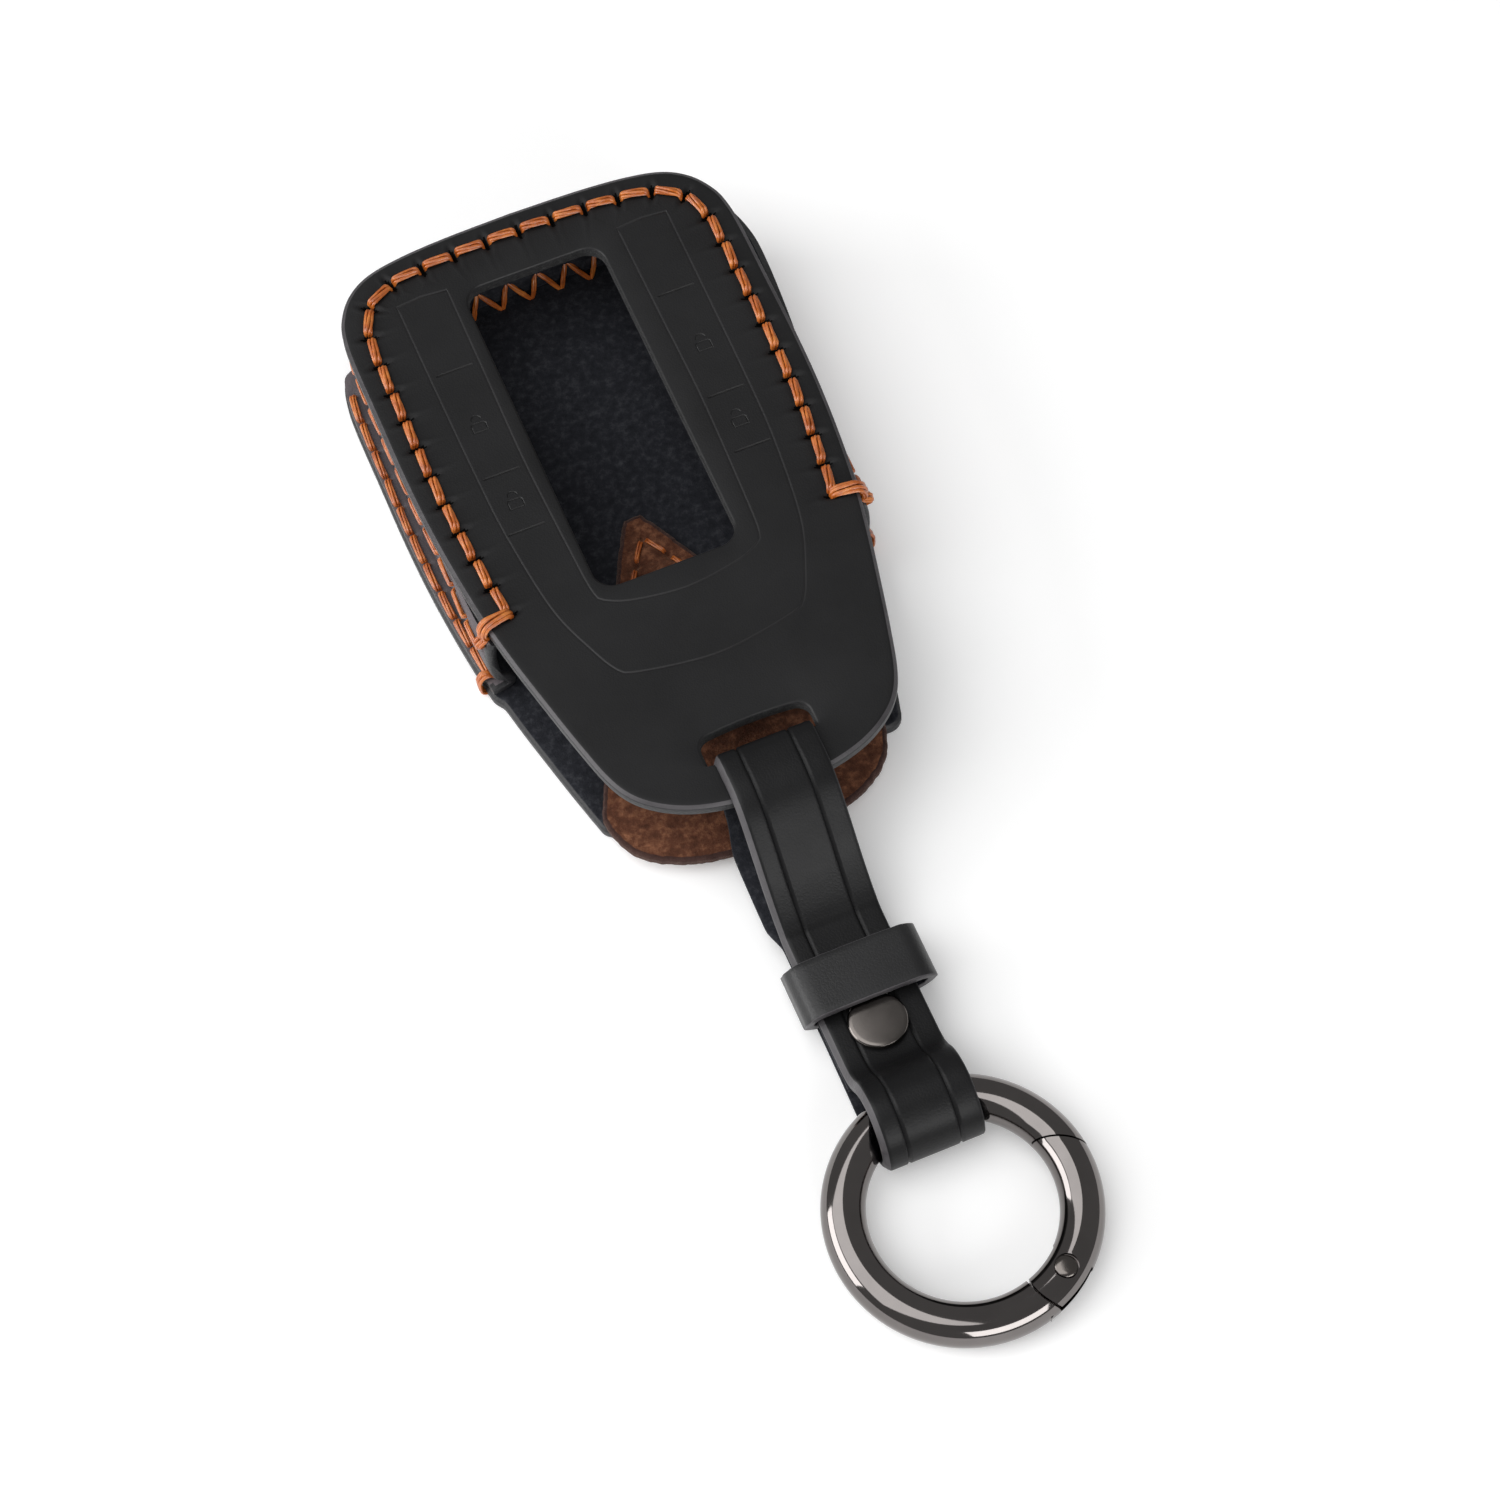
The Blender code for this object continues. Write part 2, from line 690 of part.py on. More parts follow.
def corner_tack(name, hole, side_hole):
    """Thread from an end hole over the front panel's edge and down into the gusset's wall."""
    spot, outward = side_hole
    face = (spot - hole).dot(outward)
    run = (spot - hole).normalized()
    near = SEAM_INSET + TACK_GAP + TACK_HEIGHT / 2
    far = face + TACK_GAP + TACK_HEIGHT / 2
    top = CASE_HEIGHT + THREAD_LIFT + TACK_HEIGHT * 0.6
    ease = TACK_HEIGHT
    inner = -TACK_HEIGHT / 4
    profile = (
        (inner, CASE_HEIGHT - PANEL_THICKNESS / 2), (inner, top), (THREAD_WIDTH / 2, top),
        (near - ease, top), (near, top - ease),
        (far, SIDE_SEAM_HEIGHT + ease), (far - ease, SIDE_SEAM_HEIGHT), (face - GUSSET_THICKNESS / 2, SIDE_SEAM_HEIGHT),
    )
    points = [Vector((hole.x + run.x * a, hole.y + run.y * a, z)) for a, z in profile]
    lateral = Vector((-run.y, run.x, 0.0))
    leg = LEG_WIDTH / 2
    wide = TACK_WIDTH / 2
    widths = (leg, leg, leg, wide, wide, wide, leg, leg)
    return bent_bar(name, points, lateral, widths, TACK_HEIGHT / 2, False)


def front_sewing(front, gusset, material):
    """Front seam: holes, the thread on the face with its end tacks, and the row on the side."""
    holes = front_seam()
    side = side_seam()
    cut(front, hole_cutters("front_hole_cutter", holes, FRONT_LOW - CUT_OVERRUN, CASE_HEIGHT + CUT_OVERRUN))
    cut(gusset, side_hole_cutter(side))
    depth = PANEL_THICKNESS * 0.8
    thread = flat_thread(
        "front_seam_thread", holes, CASE_HEIGHT, depth, THREAD_WIDTH, THREAD_HEIGHT, material
    )
    for label, index in (("right", 0), ("left", -1)):
        join(thread, corner_tack(f"front_{label}_tack", holes[index], side[index]))
    spots = [Vector((p.x, p.y, SIDE_SEAM_HEIGHT)) for p, _ in side[1:-1]]
    ups = [Vector((n.x, n.y, 0.0)) for _, n in side[1:-1]]
    row = sewn_thread(
        "front_side_thread", spots, ups, GUSSET_THICKNESS * 0.8, BOBBIN_WIDTH, BOBBIN_HEIGHT, material,
        SIDE_ROW_LIFT,
    )
    return thread, row


def rear_sewing(rear, gusset, side, label, material):
    """One rear seam, sewn through the gusset's flange into a groove on the outer face."""
    holes = rear_seam(side)
    cutter = hole_cutters(f"{label}_rear_hole_cutter", holes, -CUT_OVERRUN, FLANGE_TOP + CUT_OVERRUN)
    cut(rear, cutter, groove_cutter(f"{label}_rear_groove_cutter", holes, GROOVE_WIDTH))
    cut(gusset, cutter)
    out = Vector((side, 0.0))
    reach = REAR_SEAM_INSET
    notch = [holes[0] + out * a for a in (0.0, reach / 2, reach + CUT_OVERRUN)]
    cut(rear, groove_cutter(f"{label}_rear_notch_cutter", notch, TACK_WIDTH + LAYER_GAP * 2))
    thread = flat_thread(
        f"{label}_rear_seam_thread", holes, FLANGE_TOP, GUSSET_THICKNESS + LAYER_GAP,
        THREAD_WIDTH, THREAD_HEIGHT, material,
    )
    bottom = GROOVE_DEPTH + THREAD_LIFT
    join(thread, edge_tack(f"{label}_rear_tack", holes[0], out, reach, bottom, FLANGE_TOP))
    under = flat_thread(
        f"{label}_rear_under_thread", holes[1:], GROOVE_DEPTH, (REAR_TOP - GROOVE_DEPTH) / 2,
        BOBBIN_WIDTH, BOBBIN_HEIGHT, material, up=-1,
    )
    return thread, under


def tongue_sewing(rear, tongue, material):
    """Seam that holds the tongue's tip on the rear panel."""
    holes = tongue_seam()
    cutter = hole_cutters("tongue_hole_cutter", holes, -CUT_OVERRUN, TONGUE_TOP + CUT_OVERRUN)
    cut(rear, cutter, groove_cutter("tongue_groove_cutter", holes, GROOVE_WIDTH))
    cut(tongue, cutter)
    thread = flat_thread(
        "tongue_thread", holes, TONGUE_TOP, TONGUE_THICKNESS + LAYER_GAP,
        THREAD_WIDTH, THREAD_HEIGHT, material,
    )
    under = flat_thread(
        "tongue_under_thread", holes, GROOVE_DEPTH, (REAR_TOP - GROOVE_DEPTH) / 2,
        BOBBIN_WIDTH, BOBBIN_HEIGHT, material, up=-1,
    )
    return thread, under


def top_line_y(x, inset):
    """Height in Y of a line inside the gusset's top run, at a distance from the middle."""
    line = offset(gusset_stations(), inset)
    for a, b in zip(line, line[1:]):
        if b.x <= x <= a.x:
            return a.y + (b.y - a.y) * (a.x - x) / (a.x - b.x)
    return line[0].y


def zigzag_holes():
    """Corners of the zigzag seam, lower and upper in turn, just inside the leather."""
    section = gusset_section(0.0)
    rise = REAR_TOP + ZIGZAG_RISE
    foot = -across_wall(section, FLANGE_LOW, -1)
    head = -across_wall(section, rise, -1)
    count = round(ZIGZAG_HALF_SPAN * 2 / ZIGZAG_PITCH)
    corners = []
    for i in range(-count, count + 1):
        x = i * ZIGZAG_PITCH / 2
        if i % 2:
            corners.append(Vector((x, top_line_y(x, head) + ZIGZAG_DEPTH, rise)))
        else:
            corners.append(Vector((x, top_line_y(x, foot) - ZIGZAG_REACH, REAR_TOP - ZIGZAG_DEPTH)))
    return corners


def zigzag_sewing(rear, gusset, material):
    """Zigzag that joins the gusset's top wall to the rear panel from the inside."""
    corners = zigzag_holes()
    low, high = sorted(corners[:2], key=lambda corner: corner.z)
    slope = Vector((0.0, high.y - low.y, high.z - low.z)).normalized()
    if slope.z < 0:
        slope = -slope
    lateral = Vector((0.0, -slope.z, slope.y))
    half = THREAD_HEIGHT / 2
    turn = Vector((THREAD_HEIGHT * 0.6, 0.0, 0.0))
    route = [spot for corner in corners for spot in (corner - turn, corner + turn)]
    widths = [half] * len(route)
    thread = bent_bar("top_zigzag_thread", route, lateral, widths, half, False, material)
    pocket = Vector((HOLE_LENGTH, THREAD_HEIGHT * 0.75, THREAD_HEIGHT * 0.75))
    for label, target in (("lower", rear), ("upper", gusset)):
        verts = []
        faces = []
        for corner in corners:
            if (corner.z > (low.z + high.z) / 2) == (target is rear):
                continue
            base = len(verts)
            grow = (1.0, 1.6, 3.4) if target is gusset else (1.0, 2.0, 1.0)
            middle = corner - Vector((0.0, pocket.y * 0.6 if target is gusset else 0.0, 0.0))
            for x in (-1, 1):
                for y in (-1, 1):
                    for z in (-1, 1):
                        reach = Vector(a * b * c for a, b, c in zip((x, y, z), pocket, grow))
                        verts.append(middle + reach)
            for quad in ((0, 1, 3, 2), (4, 5, 7, 6), (0, 1, 5, 4), (2, 3, 7, 6), (0, 2, 6, 4), (1, 3, 7, 5)):
                faces.append(tuple(base + i for i in quad))
        cut(target, mesh_object(f"{label}_zigzag_cutter", verts, faces))
    return thread


def strap_levels():
    """Middle heights of the strap's three layers at the rivet, from the front down."""
    back = RIVET_BACK_HEIGHT + LAYER_GAP + STRAP_THICKNESS / 2
    step = STRAP_THICKNESS + LAYER_GAP
    return back + 2 * step, back + step, back


def keeper_top():
    """End of the keeper that faces the case."""
    return RIVET_Y + RIVET_RADIUS + LAYER_GAP + KEEPER_LENGTH


def ring_tube_centre():
    """Centre of the ring's tube inside the strap's loop, as (y, z)."""
    z = STRAP_THICKNESS + RING_FLOOR_GAP * 2 + RING_LOOP_GAP + RING_TUBE_RADIUS
    inner = ring_radius() - RING_TUBE_RADIUS
    slack = ring_radius() - math.sqrt(inner**2 - (STRAP_WIDTH / 2) ** 2) + RING_LOOP_GAP
    return Vector((LOOP_FAR_Y + STRAP_THICKNESS + slack, z)), slack


def ring_radius():
    return RING_OUTER_DIAMETER / 2 - RING_TUBE_RADIUS


def strap_path():
    """Middle line of the strap in the YZ plane, from its rear end to its return end."""
    front, rear, back = strap_levels()
    half = STRAP_THICKNESS / 2
    bar_high = SLOT_CENTRE_Y - SLOT_LENGTH / 2
    bar_low = -FRONT_LENGTH / 2
    over = CASE_HEIGHT + LAYER_GAP + half
    inside = bar_high + LAYER_GAP + half
    tube, slack = ring_tube_centre()
    radius = slack + half
    floor = RING_FLOOR_GAP * 2 + half
    drop = over - front
    bend = keeper_top() + KEEPER_TRAVEL
    run = bar_low - bend
    tongue_clear = TONGUE_TOP + LAYER_GAP + half
    points = [
        (REAR_END_Y, rear),
        (RIVET_Y, rear),
        (bend, rear),
        (bend + run * 0.5, rear + LAYER_GAP),
        (bar_low, tongue_clear + LAYER_GAP * 2),
        (bar_low + SLOT_LENGTH * 0.72, tongue_clear + CASE_HEIGHT * 0.14),
        (inside + half * 0.3, tongue_clear + CASE_HEIGHT * 0.32),
        (inside + half * 1.3, FRONT_LOW - PANEL_THICKNESS),
        (inside + half * 0.6, FRONT_LOW + PANEL_THICKNESS * 0.5),
        (inside - half * 0.3, over - half * 0.6),
        (bar_high - half * 0.6, over),
        (bar_low + half * 1.4, over),
        (bar_low - half * 2.6, over - drop * 0.10),
        (bar_low - run * 0.36, over - drop * 0.37),
        (bar_low - run * 0.62, over - drop * 0.70),
        (bar_low - run * 0.86, over - drop * 0.93),
        (bend - half, front),
        (RIVET_Y + half, front),
        (FRONT_END_Y + half * 1.6, front),
        (tube.x + radius * 0.76, front + (tube.y + radius - front) * 0.50),
        (tube.x + radius * 0.28, tube.y + radius * 0.98),
        (tube.x - radius * 0.30, tube.y + radius * 0.95),
        (tube.x - radius * 0.82, tube.y + radius * 0.57),
        (tube.x - radius, tube.y),
        (tube.x - radius * 0.82, floor + half * 1.7),
        (tube.x - radius * 0.42, floor + half * 0.1),
        (tube.x, floor),
        (FRONT_END_Y, back - half * 0.5),
        (RIVET_Y, back),
        (RETURN_END_Y, back),
    ]
    return bend_points(spline([Vector(p) for p in points], 8), STRAP_STEP, STRAP_TURN_DEG)


def strap(material):
    """One strip of leather: through the slot, down to the rivet, round the ring and back."""
    path = strap_path()
    half = STRAP_WIDTH / 2
    crease = half - CREASE_INSET
    ledge = CREASE_WIDTH / 2
    columns = (-half, -crease - ledge, -crease, -crease + ledge, crease - ledge, crease, crease + ledge, half)
    rings = []
    for point, normal in zip(path, flat_normals(path)):
        ring = []
        for index, x in enumerate(columns):
            sink = CREASE_DEPTH if index in (2, 5) else 0.0
            spot = point - normal * (STRAP_THICKNESS / 2 - sink)
            ring.append((x, spot.x, spot.y))
        spot = point + normal * (STRAP_THICKNESS / 2)
        ring += [(half, spot.x, spot.y), (-half, spot.x, spot.y)]
        rings.append(ring)
    obj = smooth(loft("strap", rings, material))
    top = strap_levels()[0] + STRAP_THICKNESS
    hole = RIVET_STEM_RADIUS + RIVET_HOLE_GAP
    cutter = cylinder("rivet_hole_cutter", hole, -CUT_OVERRUN, top, (0.0, RIVET_Y), 16)
    cut(obj, cutter)
    return obj


def turned(name, profile, centre, material, sides=28):
    """Solid turned about an upright axis from (radius, height) points, bottom to top."""
    rings = []
    for radius, z in profile:
        ring = []
        for i in range(sides):
            angle = math.tau * i / sides
            ring.append((centre[0] + radius * math.cos(angle), centre[1] + radius * math.sin(angle), z))
        rings.append(ring)
    return smooth(loft(name, rings, material))


def rivet(material):
    """Two-piece rivet: a post with its flat back, and the cap pressed onto it."""
    front = strap_levels()[0] + STRAP_THICKNESS / 2
    centre = (0.0, RIVET_Y)
    seat = front + LAYER_GAP
    post_top = seat + RIVET_CAP_HEIGHT * 0.4
    post = turned(
        "rivet_post",
        (
            (RIVET_RADIUS - RIVET_CHAMFER, 0.0),
            (RIVET_RADIUS, RIVET_CHAMFER),
            (RIVET_RADIUS, RIVET_BACK_HEIGHT),
            (RIVET_STEM_RADIUS, RIVET_BACK_HEIGHT),
            (RIVET_STEM_RADIUS, post_top),
        ),
        centre,
        material,
    )
    cap = turned(
        "rivet_cap",
        (
            (RIVET_RADIUS, seat),
            (RIVET_RADIUS, seat + RIVET_CAP_HEIGHT - RIVET_CHAMFER),
            (RIVET_RADIUS - RIVET_CHAMFER, seat + RIVET_CAP_HEIGHT),
        ),
        centre,
        material,
    )
    socket = RIVET_STEM_RADIUS + PIN_GAP
    socket_top = post_top + LAYER_GAP / 2
    cut(cap, cylinder("rivet_socket_cutter", socket, seat - CUT_OVERRUN, socket_top, centre, 28))
    return post, cap


def keeper_loop(material):
    """Closed band round the two upper layers of the strap."""
    front, rear, _ = strap_levels()
    low = rear - STRAP_THICKNESS / 2 - LAYER_GAP - KEEPER_THICKNESS
    high = front + STRAP_THICKNESS / 2 + LAYER_GAP + KEEPER_THICKNESS
    top_end = keeper_top()
    outer = rounded_box(KEEPER_WIDTH, high - low, (high + low) / 2, KEEPER_CORNER, 5)
    inner = offset(outer, KEEPER_THICKNESS, closed=True)
    ease = KEEPER_THICKNESS / 6
    section = (
        (outer, 0.0, ease), (outer, ease, 0.0), (inner, ease, 0.0), (inner, 0.0, ease),
    )
    far = top_end - KEEPER_LENGTH
    rows = []
    for line, inset, step in section:
        eased = offset(line, inset if line is outer else -inset, closed=True)
        rows.append([(p.x, top_end - step, p.y) for p in eased])
    for line, inset, step in reversed(section):
        eased = offset(line, inset if line is outer else -inset, closed=True)
        rows.append([(p.x, far + step, p.y) for p in eased])
    return smooth(loft("keeper_loop", rows, material, closed=True))


def tube_arc(name, start, end, material=None):
    """Stretch of the ring's tube; start and end give an angle for each side of the tube."""
    middle = (start(0.0) + end(0.0)) / 2
    span = abs(end(0.0) - start(0.0))
    count = max(2, round(span / math.radians(RING_STEP_DEG)))
    rings = []
    for i in range(count + 1):
        share = i / count
        ring = []
        for j in range(RING_SIDES):
            turn = math.tau * j / RING_SIDES
            lean = math.cos(turn)
            angle = start(lean) * (1 - share) + end(lean) * share
            radius = ring_radius() + RING_TUBE_RADIUS * lean
            ring.append((radius * math.cos(angle), radius * math.sin(angle), RING_TUBE_RADIUS * math.sin(turn)))
        rings.append(ring)
    return loft(name, rings, material)


def ring_tilt():
    """Tip of the ring, which lies from the strap's loop down to the table."""
    tube, _ = ring_tube_centre()
    return math.asin((tube.y - RING_TUBE_RADIUS - RING_FLOOR_GAP) / (2 * ring_radius()))


def new_frame(name, location, parent=None):
    empty = bpy.data.objects.new(name, None)
    empty.location = location
    empty.parent = parent
    bpy.context.collection.objects.link(empty)
    return empty


def hang(frame, *pieces):
    """Parents pieces that were drawn about the origin to an empty, without moving them."""
    for piece in pieces:
        piece.parent = frame
        piece.location = piece.location - frame.location


def ring_frame():
    """Empty in the strap's loop, on the axis that the ring swings about."""
    tube, _ = ring_tube_centre()
    empty = new_frame("ring_frame", (0.0, tube.x, tube.y))
    empty.rotation_euler = (ring_tilt(), 0.0, 0.0)
    return empty


def in_ring(parent, *pieces):
    """Hangs pieces that were drawn about the ring's centre in the loop's empty."""
    for piece in pieces:
        piece.parent = parent
        piece.location = piece.location - Vector((0.0, ring_radius(), 0.0))


def pin_frame():
    """Pin's place in the ring's plane, with the directions along and across the tube."""
    angle = math.radians(GATE_PIN_DEG)
    outward = Vector((math.cos(angle), math.sin(angle)))
    forward = Vector((-math.sin(angle), math.cos(angle)))
    return outward * ring_radius(), forward, outward


def around_pin(forward_amount, outward_amount):
    place, forward, outward = pin_frame()
    return place + forward * forward_amount + outward * outward_amount


def heel_arc(radius, steps=10):
    """Half circle behind the pin, from its inner side to its outer side."""
    angles = [math.pi * (0.5 + i / steps) for i in range(steps + 1)]
    return [(radius * math.cos(a), -radius * math.sin(a)) for a in angles]


def nose_line(extra):
    """Slanted joint at the gate's tip, as an angle for each side of the tube."""
    def angle(lean):
        return math.radians(GATE_TIP_DEG - GATE_TIP_SLANT_DEG * lean) + extra / ring_radius()
    return angle


def ring_body(parent, material):
    """Fixed part of the ring, with the slanted nose and the tongue that carries the gate."""
    end = math.radians(GATE_PIN_DEG + 360.0 - 4.0)
    body = tube_arc("ring_body", nose_line(GATE_GAP), lambda lean: end, material)
    place = around_pin(0.0, 0.0)
    tall = RING_TUBE_RADIUS + CUT_OVERRUN
    shoulder = cylinder("shoulder_cutter", GATE_HEEL_RADIUS + GATE_GAP, -tall, tall, place, 28)
    cut(body, shoulder)
    half = GATE_TONGUE_WIDTH / 2
    back = -(GATE_HEEL_RADIUS + GATE_GAP + CUT_OVERRUN)
    nose = [(half * math.sin(a), half * math.cos(a)) for a in (math.pi * i / 8 for i in range(9))]
    outline = [around_pin(a, b) for a, b in [(back, half)] + nose + [(back, -half)]]
    thick = GATE_TONGUE_THICKNESS / 2
    tongue = prism("gate_tongue", outline, -thick, thick)
    join(body, tongue)
    hole = cylinder("tongue_pin_cutter", PIN_RADIUS + PIN_GAP, -tall, tall, place, 16)
    cut(body, hole)
    smooth(body)
    in_ring(parent, body, shoulder, tongue, hole)
    return body


def bore_direction():
    """From the pin along the inside of the gate, for the spring."""
    place, _, _ = pin_frame()
    angle = math.radians(GATE_PIN_DEG + 25.0)
    target = Vector((math.cos(angle), math.sin(angle))) * ring_radius()
    return (target - place).normalized()


def along_bore(radius, start, end, name, sides=12):
    """Round bar in the ring's plane from the pin outwards along the spring's bore."""
    place, _, _ = pin_frame()
    ahead = bore_direction()
    across = Vector((-ahead.y, ahead.x))
    rings = []
    for distance in (start, end):
        middle = place + ahead * distance
        ring = []
        for i in range(sides):
            angle = math.tau * i / sides
            side = across * (radius * math.cos(angle))
            ring.append((middle.x + side.x, middle.y + side.y, radius * math.sin(angle)))
        rings.append(ring)
    return loft(name, rings)


def gate_slot_end():
    return GATE_TONGUE_WIDTH / 2 + GATE_GAP


def ring_gate(parent, material):
    """Hinged part of the ring: a fork over the body's tongue, hollow for its spring."""
    start = math.radians(GATE_PIN_DEG - 24.0)
    gate = tube_arc("ring_gate", lambda lean: start, nose_line(0.0), material)
    tall = RING_TUBE_RADIUS + CUT_OVERRUN
    wide = GATE_HEEL_RADIUS + CUT_OVERRUN
    behind = -(GATE_HEEL_RADIUS + CUT_OVERRUN * 3)
    heel = [(behind, -wide), (0.0, -wide)] + heel_arc(GATE_HEEL_RADIUS) + [(0.0, wide), (behind, wide)]
    outline = [around_pin(a, b) for a, b in heel]
    heel_cutter = prism("heel_cutter", outline, -tall, tall)
    slot_half = GATE_TONGUE_THICKNESS / 2 + GATE_GAP
    front = gate_slot_end()
    slot = [around_pin(a, b) for a, b in ((behind, -wide), (front, -wide), (front, wide), (behind, wide))]
    slot_cutter = prism("fork_cutter", slot, -slot_half, slot_half)
    bore_radius = SPRING_DIAMETER / 2 + GATE_GAP / 2
    bore_end = gate_slot_end() + SPRING_LENGTH + GATE_GAP * 2
    bore = along_bore(bore_radius, 0.0, bore_end, "spring_bore_cutter")
    place = around_pin(0.0, 0.0)
    hole = cylinder("pin_hole_cutter", PIN_RADIUS + PIN_GAP, -tall, tall, place, 16)
    seat = RING_TUBE_RADIUS - PIN_SEAT_DEPTH
    seat_radius = PIN_HEAD_RADIUS + GATE_GAP
    upper = cylinder("upper_seat_cutter", seat_radius, seat, tall, place, 20)
    lower = cylinder("lower_seat_cutter", seat_radius, -tall, -seat, place, 20)
    cutters = (heel_cutter, slot_cutter, bore, hole, upper, lower)
    cut(gate, *cutters)
    smooth(gate)
    hang(parent, gate, *cutters)
    return gate


def gate_pin(parent, material):
    """Hinge pin with a round head at each end, sunk into the gate."""
    seat = RING_TUBE_RADIUS - PIN_SEAT_DEPTH + GATE_GAP / 2
    head = seat + PIN_HEAD_HEIGHT
    ease = PIN_HEAD_HEIGHT / 3
    half = (
        (PIN_HEAD_RADIUS - ease, head), (PIN_HEAD_RADIUS, head - ease), (PIN_HEAD_RADIUS, seat),
        (PIN_RADIUS, seat),
    )
    profile = [(r, -z) for r, z in half] + [(r, z) for r, z in reversed(half)]
    pin = turned("gate_pin", profile, around_pin(0.0, 0.0), material, 16)
    hang(parent, pin)
    return pin


def gate_spring(parent, material):
    """Coil spring inside the gate, between the body's tongue and the end of its bore."""
    radius = (SPRING_DIAMETER - SPRING_WIRE) / 2
    place, _, _ = pin_frame()
    ahead = bore_direction()
    axis = Vector((ahead.x, ahead.y, 0.0))
    side = Vector((-ahead.y, ahead.x, 0.0))
    lift = Vector((0.0, 0.0, 1.0))
    start = gate_slot_end() + GATE_GAP + SPRING_WIRE / 2
    travel = SPRING_LENGTH - SPRING_WIRE
    per_turn = 9
    count = SPRING_TURNS * per_turn
    centre = []
    for i in range(count + 1):
        angle = math.tau * i / per_turn
        arm = side * math.cos(angle) + lift * math.sin(angle)
        base = Vector((place.x, place.y, 0.0))
        centre.append((base + axis * (start + travel * i / count), arm))
    rings = []
    for middle, arm in centre:
        ring = []
        for j in range(5):
            turn = math.tau * j / 5
            bend = arm * (radius + SPRING_WIRE / 2 * math.cos(turn)) + axis * (SPRING_WIRE / 2 * math.sin(turn))
            ring.append(middle + bend)
        rings.append(ring)
    spring = smooth(loft("gate_spring", rings, material))
    hang(parent, spring)
    return spring


def centre_object():
    """Moves everything so that the origin is under the middle of the object."""
    tube, _ = ring_tube_centre()
    far = tube.x - 2 * ring_radius() * math.cos(ring_tilt()) - RING_TUBE_RADIUS
    loose = [obj for obj in bpy.data.objects if obj.parent is None]
    root = new_frame("cover_frame", (0.0, -(far + FRONT_LENGTH / 2) / 2, 0.0))
    for obj in loose:
        obj.parent = root


def main():
    clear_objects()
    black = new_material("black_leather", (0.024, 0.024, 0.026), 0.55)
    flesh = new_material("black_split_leather", (0.03, 0.03, 0.033), 0.9)
    suede = new_material("brown_suede", (0.13, 0.04, 0.015), 0.95)
    orange = new_material("orange_thread", (0.6, 0.16, 0.05), 0.5)
    gunmetal = new_material("gunmetal", (0.12, 0.11, 0.11), 0.12, 1.0)
    steel = new_material("steel", (0.5, 0.5, 0.5), 0.3, 1.0)

    outline = mirrored(front_half())
    front = plate("front_panel", outline, FRONT_LOW, CASE_HEIGHT, EDGE_ROUND, black)
    smooth(front)
    window = rounded_box(WINDOW_WIDTH, WINDOW_LENGTH, WINDOW_CENTRE_Y, WINDOW_CORNER)
    window = [Vector((point.x + WINDOW_CENTRE_X, point.y)) for point in window]
    below = FRONT_LOW - CUT_OVERRUN
    above = CASE_HEIGHT + CUT_OVERRUN
    cut(front, prism("window_cutter", window, below, above))
    slot = rounded_box(SLOT_WIDTH, SLOT_LENGTH, SLOT_CENTRE_Y, SLOT_LENGTH / 3)
    arched = []
    for point in slot:
        share = (point.x * 2 / SLOT_WIDTH) ** 2
        rise = SLOT_ARCH * (1 - share) * (1 if point.y > SLOT_CENTRE_Y else 0)
        arched.append(Vector((point.x, point.y + rise)))
    cut(front, prism("slot_cutter", arched, below, above))

    gusset = side_gusset(black)
    rear = smooth(plate("rear_panel", mirrored(rear_half()), 0.0, REAR_TOP, EDGE_ROUND, flesh))
    tongue_line = tongue_half()
    tongue_outline = [Vector((-p.x, p.y)) for p in tongue_line[:-1]]
    tongue_outline += [p for p in reversed(tongue_line)]
    tongue = smooth(plate("suede_tongue", tongue_outline, TONGUE_LOW, TONGUE_TOP, EDGE_ROUND / 2, suede))

    front_sewing(front, gusset, orange)
    rear_sewing(rear, gusset, 1, "right", orange)
    rear_sewing(rear, gusset, -1, "left", orange)
    tongue_sewing(rear, tongue, orange)
    zigzag_sewing(rear, gusset, orange)

    swing = new_frame("strap_frame", (0.0, SLOT_CENTRE_Y - SLOT_LENGTH / 2, CASE_HEIGHT))
    hang(swing, strap(black), *rivet(gunmetal))
    keeper_loop(black)

    loop_axis = ring_frame()
    ring_body(loop_axis, gunmetal)
    pin = around_pin(0.0, 0.0)
    gate_axis = new_frame("gate_frame", (pin.x, pin.y, 0.0))
    ring_gate(gate_axis, gunmetal)
    gate_pin(gate_axis, gunmetal)
    gate_spring(gate_axis, steel)
    in_ring(loop_axis, gate_axis)
    centre_object()


main()
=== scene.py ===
# %% [markdown]
# # A hand-sewn leather key cover
#
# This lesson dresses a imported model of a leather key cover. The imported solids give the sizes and
# the joints. Here each piece of leather, thread and metal is drawn again with the detail that a
# close look shows: eased edges, sunken stitch holes, plied thread, pressed lines and a polished ring.
# Pieces are drawn in millimetres about the middle of the front panel, the way a maker would lay out
# the pattern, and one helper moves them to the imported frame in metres. +Y runs to the closed end.

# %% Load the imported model
import json
import math
import random

import bmesh
import bpy
import numpy as np
from mathutils import Matrix, Vector, kdtree, noise
from mathutils.geometry import delaunay_2d_cdt

